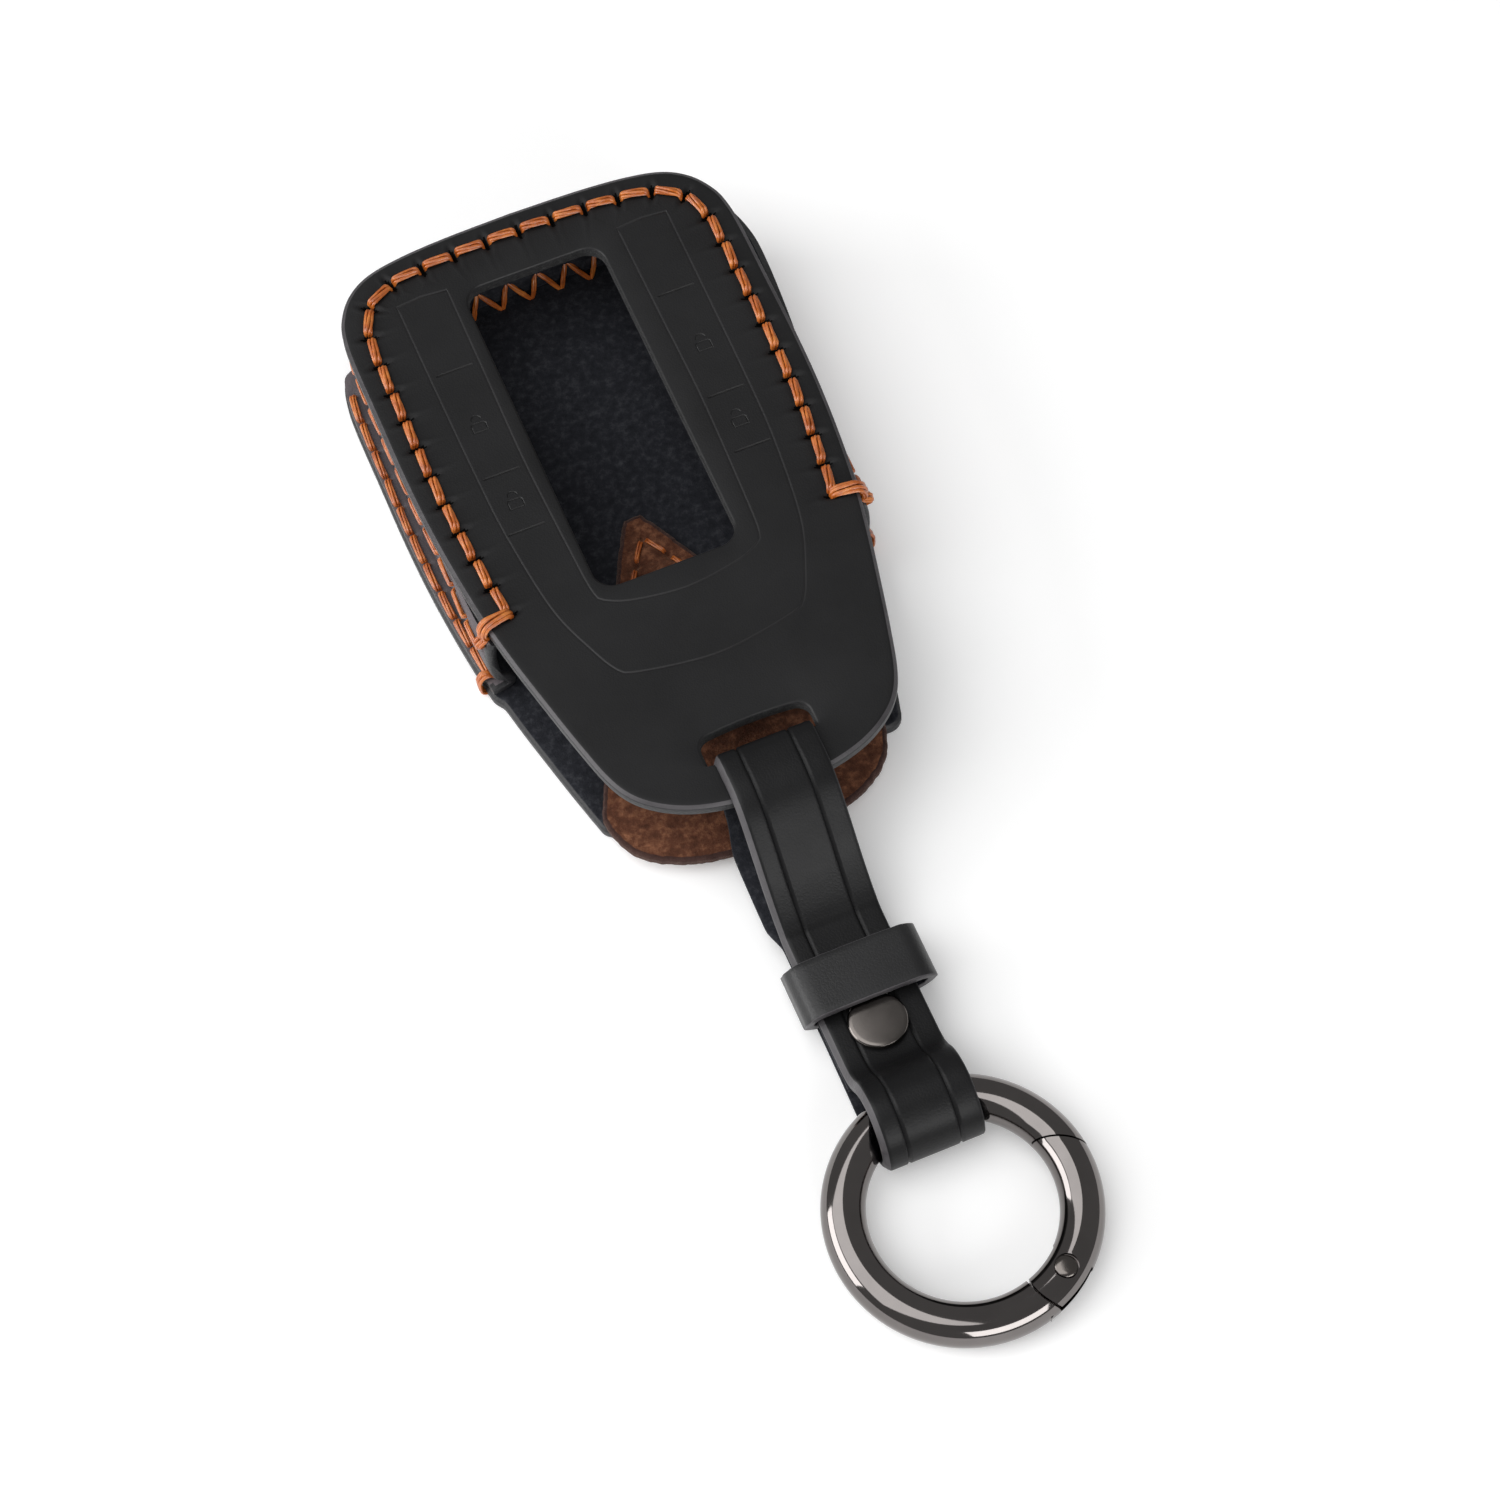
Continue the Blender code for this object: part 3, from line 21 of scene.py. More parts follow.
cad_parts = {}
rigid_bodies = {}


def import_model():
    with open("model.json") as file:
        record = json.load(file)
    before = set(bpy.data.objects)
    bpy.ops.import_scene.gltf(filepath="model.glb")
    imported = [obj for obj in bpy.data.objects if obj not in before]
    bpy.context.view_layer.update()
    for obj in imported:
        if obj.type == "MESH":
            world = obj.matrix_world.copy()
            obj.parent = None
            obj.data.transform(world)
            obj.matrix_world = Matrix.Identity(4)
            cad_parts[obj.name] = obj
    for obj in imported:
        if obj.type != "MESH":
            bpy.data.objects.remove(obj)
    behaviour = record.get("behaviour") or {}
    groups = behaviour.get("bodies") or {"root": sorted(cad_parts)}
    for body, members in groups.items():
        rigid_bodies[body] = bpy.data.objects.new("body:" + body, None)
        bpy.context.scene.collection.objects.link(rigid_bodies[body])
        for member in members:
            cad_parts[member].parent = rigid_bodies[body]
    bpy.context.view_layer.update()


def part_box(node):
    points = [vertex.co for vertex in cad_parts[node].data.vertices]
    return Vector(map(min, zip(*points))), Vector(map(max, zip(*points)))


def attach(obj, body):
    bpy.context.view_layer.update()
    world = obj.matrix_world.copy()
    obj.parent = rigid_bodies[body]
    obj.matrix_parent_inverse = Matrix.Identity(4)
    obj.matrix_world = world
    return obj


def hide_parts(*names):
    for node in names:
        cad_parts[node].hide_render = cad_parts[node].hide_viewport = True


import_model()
MM = 0.001
FINE = 1.0
CUT_STEP = 0.35 / FINE  # millimetres between the points of a finely cut edge
random.seed(7)
FRONT_LOW_CORNER, FRONT_HIGH_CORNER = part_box("front_panel")
CASE_SHIFT = (FRONT_LOW_CORNER.y + FRONT_HIGH_CORNER.y) / 2

# %% [markdown]
# ## The camera
#
# A product photographer stands nearly over a small object that lies on a sweep of paper and uses
# a long lens, so that the case keeps its proportions. The camera could be aimed with a constraint.
# Three axes are written out instead, because the photograph is also rolled a few degrees, and a
# matrix holds the aim and the roll in one place.

# %% Place the camera
CAMERA_RIGHT = Vector((0.922941, -0.383546, -0.032749))
CAMERA_UP = Vector((0.353185, 0.809895, 0.468328))
CAMERA_BACK = Vector((-0.153102, -0.443805, 0.882948))
CAMERA_TARGET = Vector((1.17, 3.560, 0.0)) * MM
CAMERA_DISTANCE = 525.4 * MM
LENS_MM, SENSOR_MM = 96.0, 36.0

camera_data = bpy.data.cameras.new("camera")
camera_data.lens = LENS_MM
camera_data.sensor_width = SENSOR_MM
camera_data.clip_start = 10 * MM
camera = bpy.data.objects.new("camera", camera_data)
aim = Matrix((CAMERA_RIGHT, CAMERA_UP, CAMERA_BACK)).transposed().to_4x4()
camera.matrix_world = Matrix.Translation(CAMERA_TARGET + CAMERA_BACK * CAMERA_DISTANCE) @ aim
bpy.context.scene.collection.objects.link(camera)
bpy.context.scene.camera = camera
print("camera at", [round(v, 4) for v in camera.location])

# %% [markdown]
# ## Paper, sky and lamps
#
# Black leather and polished metal only show their form through what they reflect. A sky that is
# white all over would turn the ring into an even grey, so the sky is dim instead. A large panel
# hangs over the left side for the leather. Two small ones stand low at the left and in front, and
# the ring gets dark bands between their bright ones. The white of the picture comes from the
# paper's own colour and from a little glow that only the camera, mirrors and glass see.

# %% Floor and sky
PAPER_WHITE, PAPER_GLOW, SKY_STRENGTH = 0.97, 0.13, 0.25
FLOOR_SIZE = 8.0
WHITE = (1.0, 1.0, 1.0, 1.0)


def new_material(name):
    material = bpy.data.materials.new(name)
    material.use_nodes = True
    material.node_tree.nodes.clear()
    return material


def add_node(material, kind, **settings):
    """One shader node; a setting that names a socket sets it, any other is a property."""
    node = material.node_tree.nodes.new(kind)
    for key, value in settings.items():
        key = key.replace("_", " ") if key.replace("_", " ") in node.inputs else key
        if key in node.inputs:
            node.inputs[key].default_value = value
        else:
            setattr(node, key, value)
    return node


def wire(material, start, end):
    material.node_tree.links.new(start, end)


paper = new_material("white_paper")
paper_shader = add_node(paper, "ShaderNodeBsdfDiffuse", Color=(*(PAPER_WHITE,) * 3, 1.0))
paper_path = add_node(paper, "ShaderNodeLightPath")
seen = paper_path.outputs["Is Camera Ray"]
for kind in ("Is Glossy Ray", "Is Transmission Ray"):
    either = add_node(paper, "ShaderNodeMath", operation="MAXIMUM")
    wire(paper, seen, either.inputs[0])
    wire(paper, paper_path.outputs[kind], either.inputs[1])
    seen = either.outputs[0]
paper_lift = add_node(paper, "ShaderNodeMath", operation="MULTIPLY")
paper_lift.inputs[1].default_value = PAPER_GLOW
wire(paper, seen, paper_lift.inputs[0])
paper_glow = add_node(paper, "ShaderNodeEmission", Color=WHITE)
wire(paper, paper_lift.outputs[0], paper_glow.inputs["Strength"])
paper_sum = add_node(paper, "ShaderNodeAddShader")
paper_out = add_node(paper, "ShaderNodeOutputMaterial")
wire(paper, paper_shader.outputs[0], paper_sum.inputs[0])
wire(paper, paper_glow.outputs[0], paper_sum.inputs[1])
wire(paper, paper_sum.outputs[0], paper_out.inputs["Surface"])

bpy.ops.mesh.primitive_plane_add(size=FLOOR_SIZE, location=(0.0, 0.0, 0.0))
floor = bpy.context.object
floor.name = "paper_floor"
floor.data.materials.append(paper)

world = bpy.data.worlds.new("studio_sky")
bpy.context.scene.world = world
world.use_nodes = True
sky = world.node_tree
sky.nodes.clear()
sky_light = sky.nodes.new("ShaderNodeBackground")
sky_light.inputs["Color"].default_value = WHITE
sky_light.inputs["Strength"].default_value = SKY_STRENGTH
sky_out = sky.nodes.new("ShaderNodeOutputWorld")
sky.links.new(sky_light.outputs[0], sky_out.inputs["Surface"])
bpy.context.scene.view_settings.view_transform = "Standard"
print("white paper under a dim sky")

# %% Soft panels
# Name, place, size and power of each panel. They all face the middle of the floor.
SOFT_PANELS = (
    ("overhead_panel", (-0.40, 0.04, 0.88), (1.0, 1.0), 6.6),
    ("left_panel", (-0.92, 0.22, 0.34), (0.75, 0.5), 6.0),
    ("front_panel_lamp", (0.08, -0.95, 0.38), (0.75, 0.45), 5.0),
)
for name, place, (width, length), power in SOFT_PANELS:
    data = bpy.data.lights.new(name, "AREA")
    data.shape = "RECTANGLE"
    data.size, data.size_y, data.energy = width, length, power
    lamp = bpy.data.objects.new(name, data)
    lamp.location = place
    lamp.rotation_euler = (-Vector(place)).to_track_quat("-Z", "Y").to_euler()
    bpy.context.scene.collection.objects.link(lamp)

# %% [markdown]
# ## Leather finishes
#
# Full-grain black leather is not one grey. Its grain breaks the reflections, and handling makes the
# sheen patchy. The grain could be a picture, but here noises make it: a Voronoi web and a fine
# noise bend the light as pores do, and a slow noise lets the colour and the roughness drift.

# %% Leather
def noise_texture(material, scale, detail=4.0, roughness=0.55):
    coordinates = add_node(material, "ShaderNodeTexCoord")
    texture = add_node(material, "ShaderNodeTexNoise", Scale=scale, Detail=detail, Roughness=roughness)
    wire(material, coordinates.outputs["Object"], texture.inputs["Vector"])
    return texture


def ramp(material, source, stops, socket=None):
    """Colours at places along a 0 to 1 value, wired on to a socket where one is given."""
    node = add_node(material, "ShaderNodeValToRGB")
    while len(node.color_ramp.elements) < len(stops):
        node.color_ramp.elements.new(0.5)
    for element, (place, color) in zip(node.color_ramp.elements, stops):
        element.position = place
        element.color = (*color, 1.0)
    wire(material, source, node.inputs["Fac"])
    if socket is not None:
        wire(material, node.outputs["Color"], socket)
    return node


def bump(material, height, strength, distance, below=None):
    node = add_node(material, "ShaderNodeBump", Strength=strength, Distance=distance)
    wire(material, height, node.inputs["Height"])
    if below is not None:
        wire(material, below.outputs["Normal"], node.inputs["Normal"])
    return node


def principled(name, **settings):
    """A material with one shader on its output."""
    material = new_material(name)
    shader = add_node(material, "ShaderNodeBsdfPrincipled", **settings)
    out = add_node(material, "ShaderNodeOutputMaterial")
    wire(material, shader.outputs["BSDF"], out.inputs["Surface"])
    return material, shader


def rough_drift(material, shader, source, rough):
    """Roughness that drifts between two values with a noise."""
    stops = [(place, (value,) * 3) for place, value in zip((0.3, 0.7), rough)]
    ramp(material, source, stops, shader.inputs["Roughness"])


def leather(name, dark, light, rough, specular, grain_depth, pore_size=2600.0, patch=70.0):
    """Leather whose colour drifts from dark to light and whose roughness drifts with it."""
    material, shader = principled(name, Specular_IOR_Level=specular)
    patches = noise_texture(material, patch, 5.0, 0.6).outputs["Fac"]
    ramp(material, patches, ((0.3, dark), (0.72, light)), shader.inputs["Base Color"])
    rough_drift(material, shader, patches, rough)
    coordinates = add_node(material, "ShaderNodeTexCoord")
    pores = add_node(material, "ShaderNodeTexVoronoi", Scale=pore_size, feature="DISTANCE_TO_EDGE")
    wire(material, coordinates.outputs["Object"], pores.inputs["Vector"])
    web = ramp(material, pores.outputs["Distance"], ((0.0, (0.0,) * 3), (0.22, (1.0,) * 3)))
    fine = noise_texture(material, pore_size * 1.6, 3.0)
    first = bump(material, web.outputs["Color"], grain_depth, 0.06 * MM)
    second = bump(material, fine.outputs["Fac"], grain_depth * 0.8, 0.05 * MM, first)
    wire(material, second.outputs["Normal"], shader.inputs["Normal"])
    return material


BLACK_GRAIN = leather("black_grain_leather", (0.0115, 0.0115, 0.0120), (0.0165, 0.0165, 0.0172),
                      rough=(0.50, 0.62), specular=0.17, grain_depth=0.20)
PRESSED_GRAIN = leather("pressed_grain_leather", (0.0120, 0.0118, 0.0124), (0.0180, 0.0176, 0.0184),
                        rough=(0.38, 0.48), specular=0.30, grain_depth=0.15)
# Painted highlight: eased edges get a grey several times lighter than the leather, standing in for the light
# their rounded band catches. The gloss is the burnish.
BEVEL_PAINTED_HIGHLIGHT = leather("bevel_painted_highlight", (0.050, 0.047, 0.050), (0.086, 0.081, 0.086),
                      rough=(0.35, 0.5), specular=0.30, grain_depth=0.25, pore_size=1500.0, patch=160.0)
# Painted shade: near-black for the faces at the bottom of each stitch hole, standing in for the shadow inside
# the pierced hole.
HOLE_PAINTED_SHADE = leather("stitch_hole_painted_shade", (0.002,) * 3, (0.003,) * 3,
                    rough=(0.8, 0.9), specular=0.05, grain_depth=0.1)
EDGE_PAINT = leather("black_edge_paint", (0.012, 0.012, 0.013), (0.020, 0.020, 0.022),
                     rough=(0.42, 0.58), specular=0.42, grain_depth=0.35, pore_size=1500.0)
STRAP_GRAIN = leather("strap_grain_leather", (0.0065, 0.0065, 0.0069), (0.0095, 0.0095, 0.0100),
                      rough=(0.36, 0.46), specular=0.20, grain_depth=0.18, pore_size=2200.0, patch=90.0)
# Painted highlight: the keeper is the strap's leather, given a lighter colour than the strap to stand in for
# its satin highlight.
KEEPER_PAINTED_HIGHLIGHT = leather("keeper_leather_painted_highlight", (0.0110, 0.0110, 0.0115), (0.0170, 0.0170, 0.0177),
                       rough=(0.34, 0.44), specular=0.36, grain_depth=0.18, pore_size=2200.0, patch=90.0)
# Painted sheen: the gusset's black leather is given a light purple-grey, several times lighter than the panels,
# for the light its curved outer face reflects.
WALL_PAINTED_SHEEN = leather("gusset_painted_sheen_leather", (0.085, 0.074, 0.080), (0.120, 0.104, 0.112),
                     rough=(0.55, 0.7), specular=0.3, grain_depth=0.3, pore_size=1900.0)
print("leather finishes", len(bpy.data.materials))

# %% [markdown]
# ## Fuzzy finishes
#
# The flesh side of the rear panel and the suede tongue have loose fibres that catch the light from
# the side. A fur simulation would be heavy at this size. Sheen on the shader and two bumps, one
# coarse and one fine, give the same soft look, and the coarse noise also mottles the colour.

# %% Flesh side and suede
def tones(material, source, colors, shader):
    """A dark, a middle and a light tone spread over a noise."""
    ramp(material, source, tuple(zip((0.28, 0.5, 0.74), colors)), shader.inputs["Base Color"])


def fuzzy(name, dark, middle, light, sheen_tint, sheen, depth, scale=900.0):
    """Napped leather: mottled colour, dull, with a soft sheen."""
    material, shader = principled(name, Roughness=0.95, Specular_IOR_Level=0.15, Sheen_Weight=sheen,
                                  Sheen_Roughness=0.45, Sheen_Tint=(*sheen_tint, 1.0))
    mottle = noise_texture(material, scale, 8.0, 0.72).outputs["Fac"]
    tones(material, mottle, (dark, middle, light), shader)
    fibre = noise_texture(material, scale * 3.3, 6.0, 0.75)
    first = bump(material, mottle, depth, 0.35 * MM)
    second = bump(material, fibre.outputs["Fac"], depth, 0.15 * MM, first)
    wire(material, second.outputs["Normal"], shader.inputs["Normal"])
    return material


FLESH_SIDE = fuzzy("black_flesh_side", (0.010, 0.011, 0.014), (0.020, 0.021, 0.026),
                   (0.052, 0.054, 0.061), sheen_tint=(0.35, 0.38, 0.45), sheen=0.06, depth=0.7)
RAW_EDGE = fuzzy("raw_leather_edge", (0.010, 0.010, 0.011), (0.022, 0.022, 0.023),
                 (0.050, 0.050, 0.050), sheen_tint=(0.8, 0.8, 0.8), sheen=0.10, depth=0.8, scale=1600.0)
SUEDE = fuzzy("brown_suede_nap", (0.036, 0.011, 0.006), (0.115, 0.042, 0.023),
              (0.340, 0.145, 0.075), sheen_tint=(0.9, 0.6, 0.4), sheen=0.25, depth=1.0, scale=700.0)
SUEDE_EDGE = fuzzy("suede_cut_edge", (0.030, 0.014, 0.012), (0.052, 0.026, 0.022),
                   (0.085, 0.048, 0.040), sheen_tint=(0.8, 0.6, 0.5), sheen=0.2, depth=0.8, scale=1200.0)
print("fuzzy finishes ready")

# %% [markdown]
# ## Thread and metal
#
# The thread is waxed polyester, plied from a few strands. The strands themselves are modelled, so
# the material only adds the fibres along them and the drift of the dye. The ring is plated with
# black nickel: a dark mirror with a slightly warm tint, and faint polishing marks.

# %% Thread and metal finishes
def thread_finish():
    material, shader = principled("waxed_orange_thread", Roughness=0.36, Specular_IOR_Level=0.8,
                                  Coat_Weight=0.15, Coat_Roughness=0.25)
    drift = noise_texture(material, 420.0, 6.0, 0.7)
    dyes = ((0.24, 0.046, 0.006), (0.46, 0.110, 0.013), (0.68, 0.230, 0.040))
    tones(material, drift.outputs["Fac"], dyes, shader)
    fibre = noise_texture(material, 5200.0, 3.0)
    ridges = bump(material, fibre.outputs["Fac"], 0.5, 0.05 * MM)
    wire(material, ridges.outputs["Normal"], shader.inputs["Normal"])
    return material


def metal_finish(name, color, rough, marks):
    """Plated metal whose tint and polish drift with the same smear."""
    material, shader = principled(name, Metallic=1.0)
    smear = noise_texture(material, 160.0, 6.0, 0.6).outputs["Fac"]
    darker = tuple(c * 0.86 for c in color)
    ramp(material, smear, ((0.3, darker), (0.7, color)), shader.inputs["Base Color"])
    rough_drift(material, shader, smear, rough)
    scratches = noise_texture(material, 2400.0, 4.0)
    worn = bump(material, scratches.outputs["Fac"], marks, 0.01 * MM)
    wire(material, worn.outputs["Normal"], shader.inputs["Normal"])
    return material


ORANGE_THREAD = thread_finish()
GUNMETAL = metal_finish("black_nickel", (0.195, 0.180, 0.175), rough=(0.05, 0.09), marks=0.03)
RIVET_METAL = metal_finish("brushed_black_nickel", (0.165, 0.150, 0.140), rough=(0.16, 0.26), marks=0.12)
SPRING_METAL = metal_finish("spring_wire", (0.55, 0.54, 0.52), rough=(0.25, 0.35), marks=0.1)
print("all finishes", len(bpy.data.materials))

# %% [markdown]
# ## Lines and skins
#
# Leather is cut along smooth lines, so every piece starts as one. Blender's curve objects could
# carry them, but a plain list of points is easier to offset, to measure and to hang stitches on.
# A Catmull-Rom curve passes through its points, as a pattern drawn with a French curve does.

# %% Line helpers
def curve(points, per_span=8, closed=False):
    """Smooth line through the points."""
    count = len(points)
    out = []
    for i in range(count if closed else count - 1):
        if closed:
            a, b, c, d = (points[(i + k - 1) % count] for k in range(4))
        else:
            a, b = points[max(i - 1, 0)], points[i]
            c, d = points[i + 1], points[min(i + 2, count - 1)]
        for step in range(per_span):
            t = step / per_span
            cubic = (d - a + (b - c) * 3) * t**3
            square = (a * 2 - b * 5 + c * 4 - d) * t**2
            out.append((cubic + square + (c - a) * t + b * 2) / 2)
    if not closed:
        out.append(points[-1].copy())
    return out


def running_lengths(points):
    total = [0.0]
    for a, b in zip(points, points[1:]):
        total.append(total[-1] + (b - a).length)
    return total


def spaced(points, step=None, count=None, closed=False):
    """The same line with even steps."""
    line = points + [points[0]] if closed else points
    total = running_lengths(line)
    count = count or max(2, round(total[-1] / step))
    out = []
    spot = 0
    for i in range(count if closed else count + 1):
        target = total[-1] * i / count
        while spot < len(total) - 2 and total[spot + 1] < target:
            spot += 1
        span = total[spot + 1] - total[spot]
        out.append(line[spot].lerp(line[spot + 1], (target - total[spot]) / span if span else 0.0))
    return out


def left_normals(points, closed=False):
    out = []
    count = len(points)
    for i in range(count):
        if closed:
            a, b = points[i - 1], points[(i + 1) % count]
        else:
            a, b = points[max(i - 1, 0)], points[min(i + 1, count - 1)]
        along = (b - a).normalized()
        out.append(Vector((-along.y, along.x)))
    return out


def moved(points, amount, closed=False):
    """The line moved to its left by an amount, which is inwards for an outline."""
    return [p + n * amount for p, n in zip(points, left_normals(points, closed))]


def smoothstep(value):
    value = min(max(value, 0.0), 1.0)
    return value * value * (3 - 2 * value)


def turns(count):
    """Evenly spaced angles round a full turn."""
    return (math.tau * i / count for i in range(count))


def circle(centre, radius, count):
    return [Vector((centre[0] + radius * math.cos(a), centre[1] + radius * math.sin(a)))
            for a in turns(count)]


def flipped(points):
    """The points mirrored from one side of the case to the other."""
    return [Vector((-p.x, p.y)) for p in points]


def at_height(points, height):
    return [Vector((p.x, p.y, height)) for p in points]


# %% Shape helper
class Shape:
    """Points in millimetres in the case's own frame, and faces with a finish number each."""

    def __init__(self):
        self.points = []
        self.faces = []
        self.finish = []

    def add(self, points):
        start = len(self.points)
        self.points.extend(Vector(p) for p in points)
        return list(range(start, len(self.points)))

    def face(self, ids, finish=0):
        self.faces.append(tuple(ids))
        self.finish.append(finish)

    def bridge(self, first, second, finish=0, closed=True):
        count = len(first)
        for i in range(count if closed else count - 1):
            k = (i + 1) % count
            self.face((first[i], first[k], second[k], second[i]), finish)

    def skin(self, rings, finish=0, closed=True, caps=True):
        """Tube through rings of points; closed says that each ring is a loop."""
        rows = [self.add(ring) for ring in rings]
        for a, b in zip(rows, rows[1:]):
            self.bridge(a, b, finish, closed)
        if caps:
            self.face(rows[0], finish)
            self.face(rows[-1], finish)
        return rows


def to_frame(point):
    """Millimetres in the case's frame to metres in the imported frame."""
    return Vector((point[0] * MM, point[1] * MM + CASE_SHIFT, point[2] * MM))


def solid_object(name, points, faces):
    """A linked mesh object with its faces turned outwards."""
    mesh = bpy.data.meshes.new(name)
    mesh.from_pydata(points, [], faces)
    solid = bmesh.new()
    solid.from_mesh(mesh)
    bmesh.ops.recalc_face_normals(solid, faces=solid.faces)
    solid.to_mesh(mesh)
    solid.free()
    piece = bpy.data.objects.new(name, mesh)
    bpy.context.scene.collection.objects.link(piece)
    return piece


def finish_piece(name, shape, body, finishes, stands_for=(), sharp=40.0, turn=None):
    """Makes the object with its finishes, rides it on its body and prints its face count."""
    placed = [turn @ p for p in shape.points] if turn else shape.points
    piece = solid_object(name, [to_frame(p) for p in placed], shape.faces)
    mesh = piece.data
    mesh.polygons.foreach_set("material_index", shape.finish)
    for finish in finishes:
        mesh.materials.append(finish)
    mesh.shade_smooth()
    mesh.set_sharp_from_angle(angle=math.radians(sharp))
    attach(piece, body)
    if stands_for:
        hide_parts(*stands_for)
    print(name, "faces", len(mesh.polygons))
    return piece


# A slit's stretch; the raised lip's place and width, the dent's reach and the reach of the hole's painted
# shade, in radii.
SLIT_STRETCH, LIP_AT, LIP_WIDE, DENT_REACH, HOLE_SHADE_REACH = 0.64, 2.1, 0.6, 4, 1.25


def press_holes(shape, holes, depth, radius, lip=0.0, dark=None):
    """Sinks the points near each stitch hole: its place, the way in, and the slit's direction. Faces closest to
    a hole can take a finish that is the hole's painted shade.
    """
    tree = kdtree.KDTree(len(holes))
    for i, hole in enumerate(holes):
        tree.insert(hole[0], i)
    tree.balance()
    reaches = []
    for i, point in enumerate(shape.points):
        place, index, _ = tree.find(point)
        arm = point - place
        if len(holes[index]) > 2:
            slit = holes[index][2]
            arm -= slit * (arm.dot(slit) * SLIT_STRETCH)
        reach = arm.length
        reaches.append(reach)
        if reach < radius * DENT_REACH:
            sink = depth * math.exp(-((reach / radius) ** 2))
            sink -= lip * math.exp(-(((reach - radius * LIP_AT) / (radius * LIP_WIDE)) ** 2))
            shape.points[i] = point + holes[index][1] * sink
    # Faces close to a hole take the near-black finish, painted shade for the hole's depth.
    if dark is not None:
        for number, face in enumerate(shape.faces):
            if max(reaches[i] for i in face) < radius * HOLE_SHADE_REACH:
                shape.finish[number] = dark


print("helpers ready")

# %% [markdown]
# ## Outlines and stitch lines
#
# One pattern line decides everything: the front panel's edge. The gusset stands just inside it,
# the rear panel reaches a little past it, and each seam runs at a fixed distance from it. The
# stitches were paced out with a pricking iron, so their holes are evenly spaced.

# %% Pattern
FRONT_HALF_WIDTH = 28.3
FRONT_HALF_LENGTH = 48.2
CASE_HEIGHT = 17.0
PANEL = 2.0
GUSSET = 1.4
LAYER_GAP = 0.3
GUSSET_END_Y = -13.4
SPLAY_START_Y = 5.0
WALL_SWELL, SWELL_TOP_Y, SWELL_HIGH_Y, SWELL_END_Y = 2.2, 45.0, 31.0, 0.0
EAR_Y, EAR_BLEND = 42.5, 5.0
WALL_INSET, WALL_HOLLOW, WALL_SPLAY, TOP_WALL_INSET = 1.2, 0.5, 1.7, 2.7
REAR_OVERHANG, REAR_TOP_INSET, FLANGE_SETBACK, REAR_FRONT_OVERHANG = 1.35, 1.2, 0.2, 0.65
SEAM_INSET, SIDE_SEAM_HEIGHT, REAR_SEAM_INSET = 3.5, 12.1, 1.25
STITCH_PITCH = 4.75
HOLE_LENGTH = 1.7
FLANGE_LOW = PANEL + LAYER_GAP
FLANGE_TOP = FLANGE_LOW + GUSSET
FRONT_LOW = CASE_HEIGHT - PANEL
WALL_TOP = FRONT_LOW - LAYER_GAP

FRONT_SHARES = (
    (0.0, 1.0), (0.35, 0.995), (0.60, 0.982), (0.77, 0.958), (0.885, 0.912), (0.96, 0.845),
    (0.99, 0.778), (1.0, 0.685), (1.0, 0.50), (1.0, 0.31), (0.99, 0.125), (0.965, -0.06),
    (0.93, -0.228), (0.885, -0.373), (0.83, -0.519), (0.772, -0.664), (0.712, -0.793),
    (0.65, -0.867), (0.562, -0.919), (0.442, -0.96), (0.30, -0.986), (0.15, -0.998), (0.0, -1.0),
)


def mirrored(half):
    """Closed outline, counter-clockwise, from its right half listed top to bottom."""
    return flipped(half)[:-1] + list(reversed(half))[:-1]


front_half = curve([Vector((x * FRONT_HALF_WIDTH, y * FRONT_HALF_LENGTH)) for x, y in FRONT_SHARES], 12)
front_outline = spaced(mirrored(front_half), 0.27 / FINE, closed=True)


def edge_line(start_y, inset=0.0, step=0.5):
    """Front panel's edge over the top, from the right side at start_y to the left side."""
    half = [p for p in front_half if p.y > start_y]
    below = next(p for p in front_half if p.y <= start_y)
    last = half[-1]
    half.append(last.lerp(below, (start_y - last.y) / (below.y - last.y)))
    line = list(reversed(half)) + flipped(half[1:])
    return moved(spaced(line, step), inset)


def side_share(y):
    """1 beside the case, 0 along its closed top, blended round the ears."""
    return smoothstep((EAR_Y - y) / EAR_BLEND + 0.5)


def splay_share(y):
    """0 along the case, rising to 1 at the gusset's open end."""
    return smoothstep((SPLAY_START_Y - y) / (SPLAY_START_Y - GUSSET_END_Y))


def swell_share(point):
    """Bulge of the right side under the front panel's edge, highest near its upper end."""
    above = smoothstep((SWELL_TOP_Y - point.y) / (SWELL_TOP_Y - SWELL_HIGH_Y))
    below = smoothstep((point.y - SWELL_END_Y) / (SWELL_HIGH_Y - SWELL_END_Y))
    return above * below if point.x > 0 else 0.0


seam_line = edge_line(GUSSET_END_Y + HOLE_LENGTH, SEAM_INSET, 0.2)
STITCHES = round(running_lengths(seam_line)[-1] / STITCH_PITCH)
front_holes = spaced(seam_line, count=STITCHES)
print("front stitches", STITCHES, "outline points", len(front_outline))

# %% [markdown]
# ## A sheet with eased edges
#
# Thick vegetable-tanned leather is skived and burnished along its cut edge. Blender's bevel could
# round it, but the panels also need holes, pressed lines and sunken stitches, and those want
# points in the right places. So a sheet is built from rings that follow its outline, and the flat
# middle is filled by a Delaunay triangulation that respects the pressed lines.

# %% Filling the flat middle
def inside(loop, spots):
    """Which of the spots lie inside a closed line."""
    xs = np.array([p[0] for p in loop])
    ys = np.array([p[1] for p in loop])
    result = np.zeros(len(spots), bool)
    for x0, y0, x1, y1 in zip(xs, ys, np.roll(xs, -1), np.roll(ys, -1)):
        if y0 != y1:
            crosses = (y0 > spots[:, 1]) != (y1 > spots[:, 1])
            at = (x1 - x0) * (spots[:, 1] - y0) / (y1 - y0) + x0
            result ^= crosses & (spots[:, 0] < at)
    return result


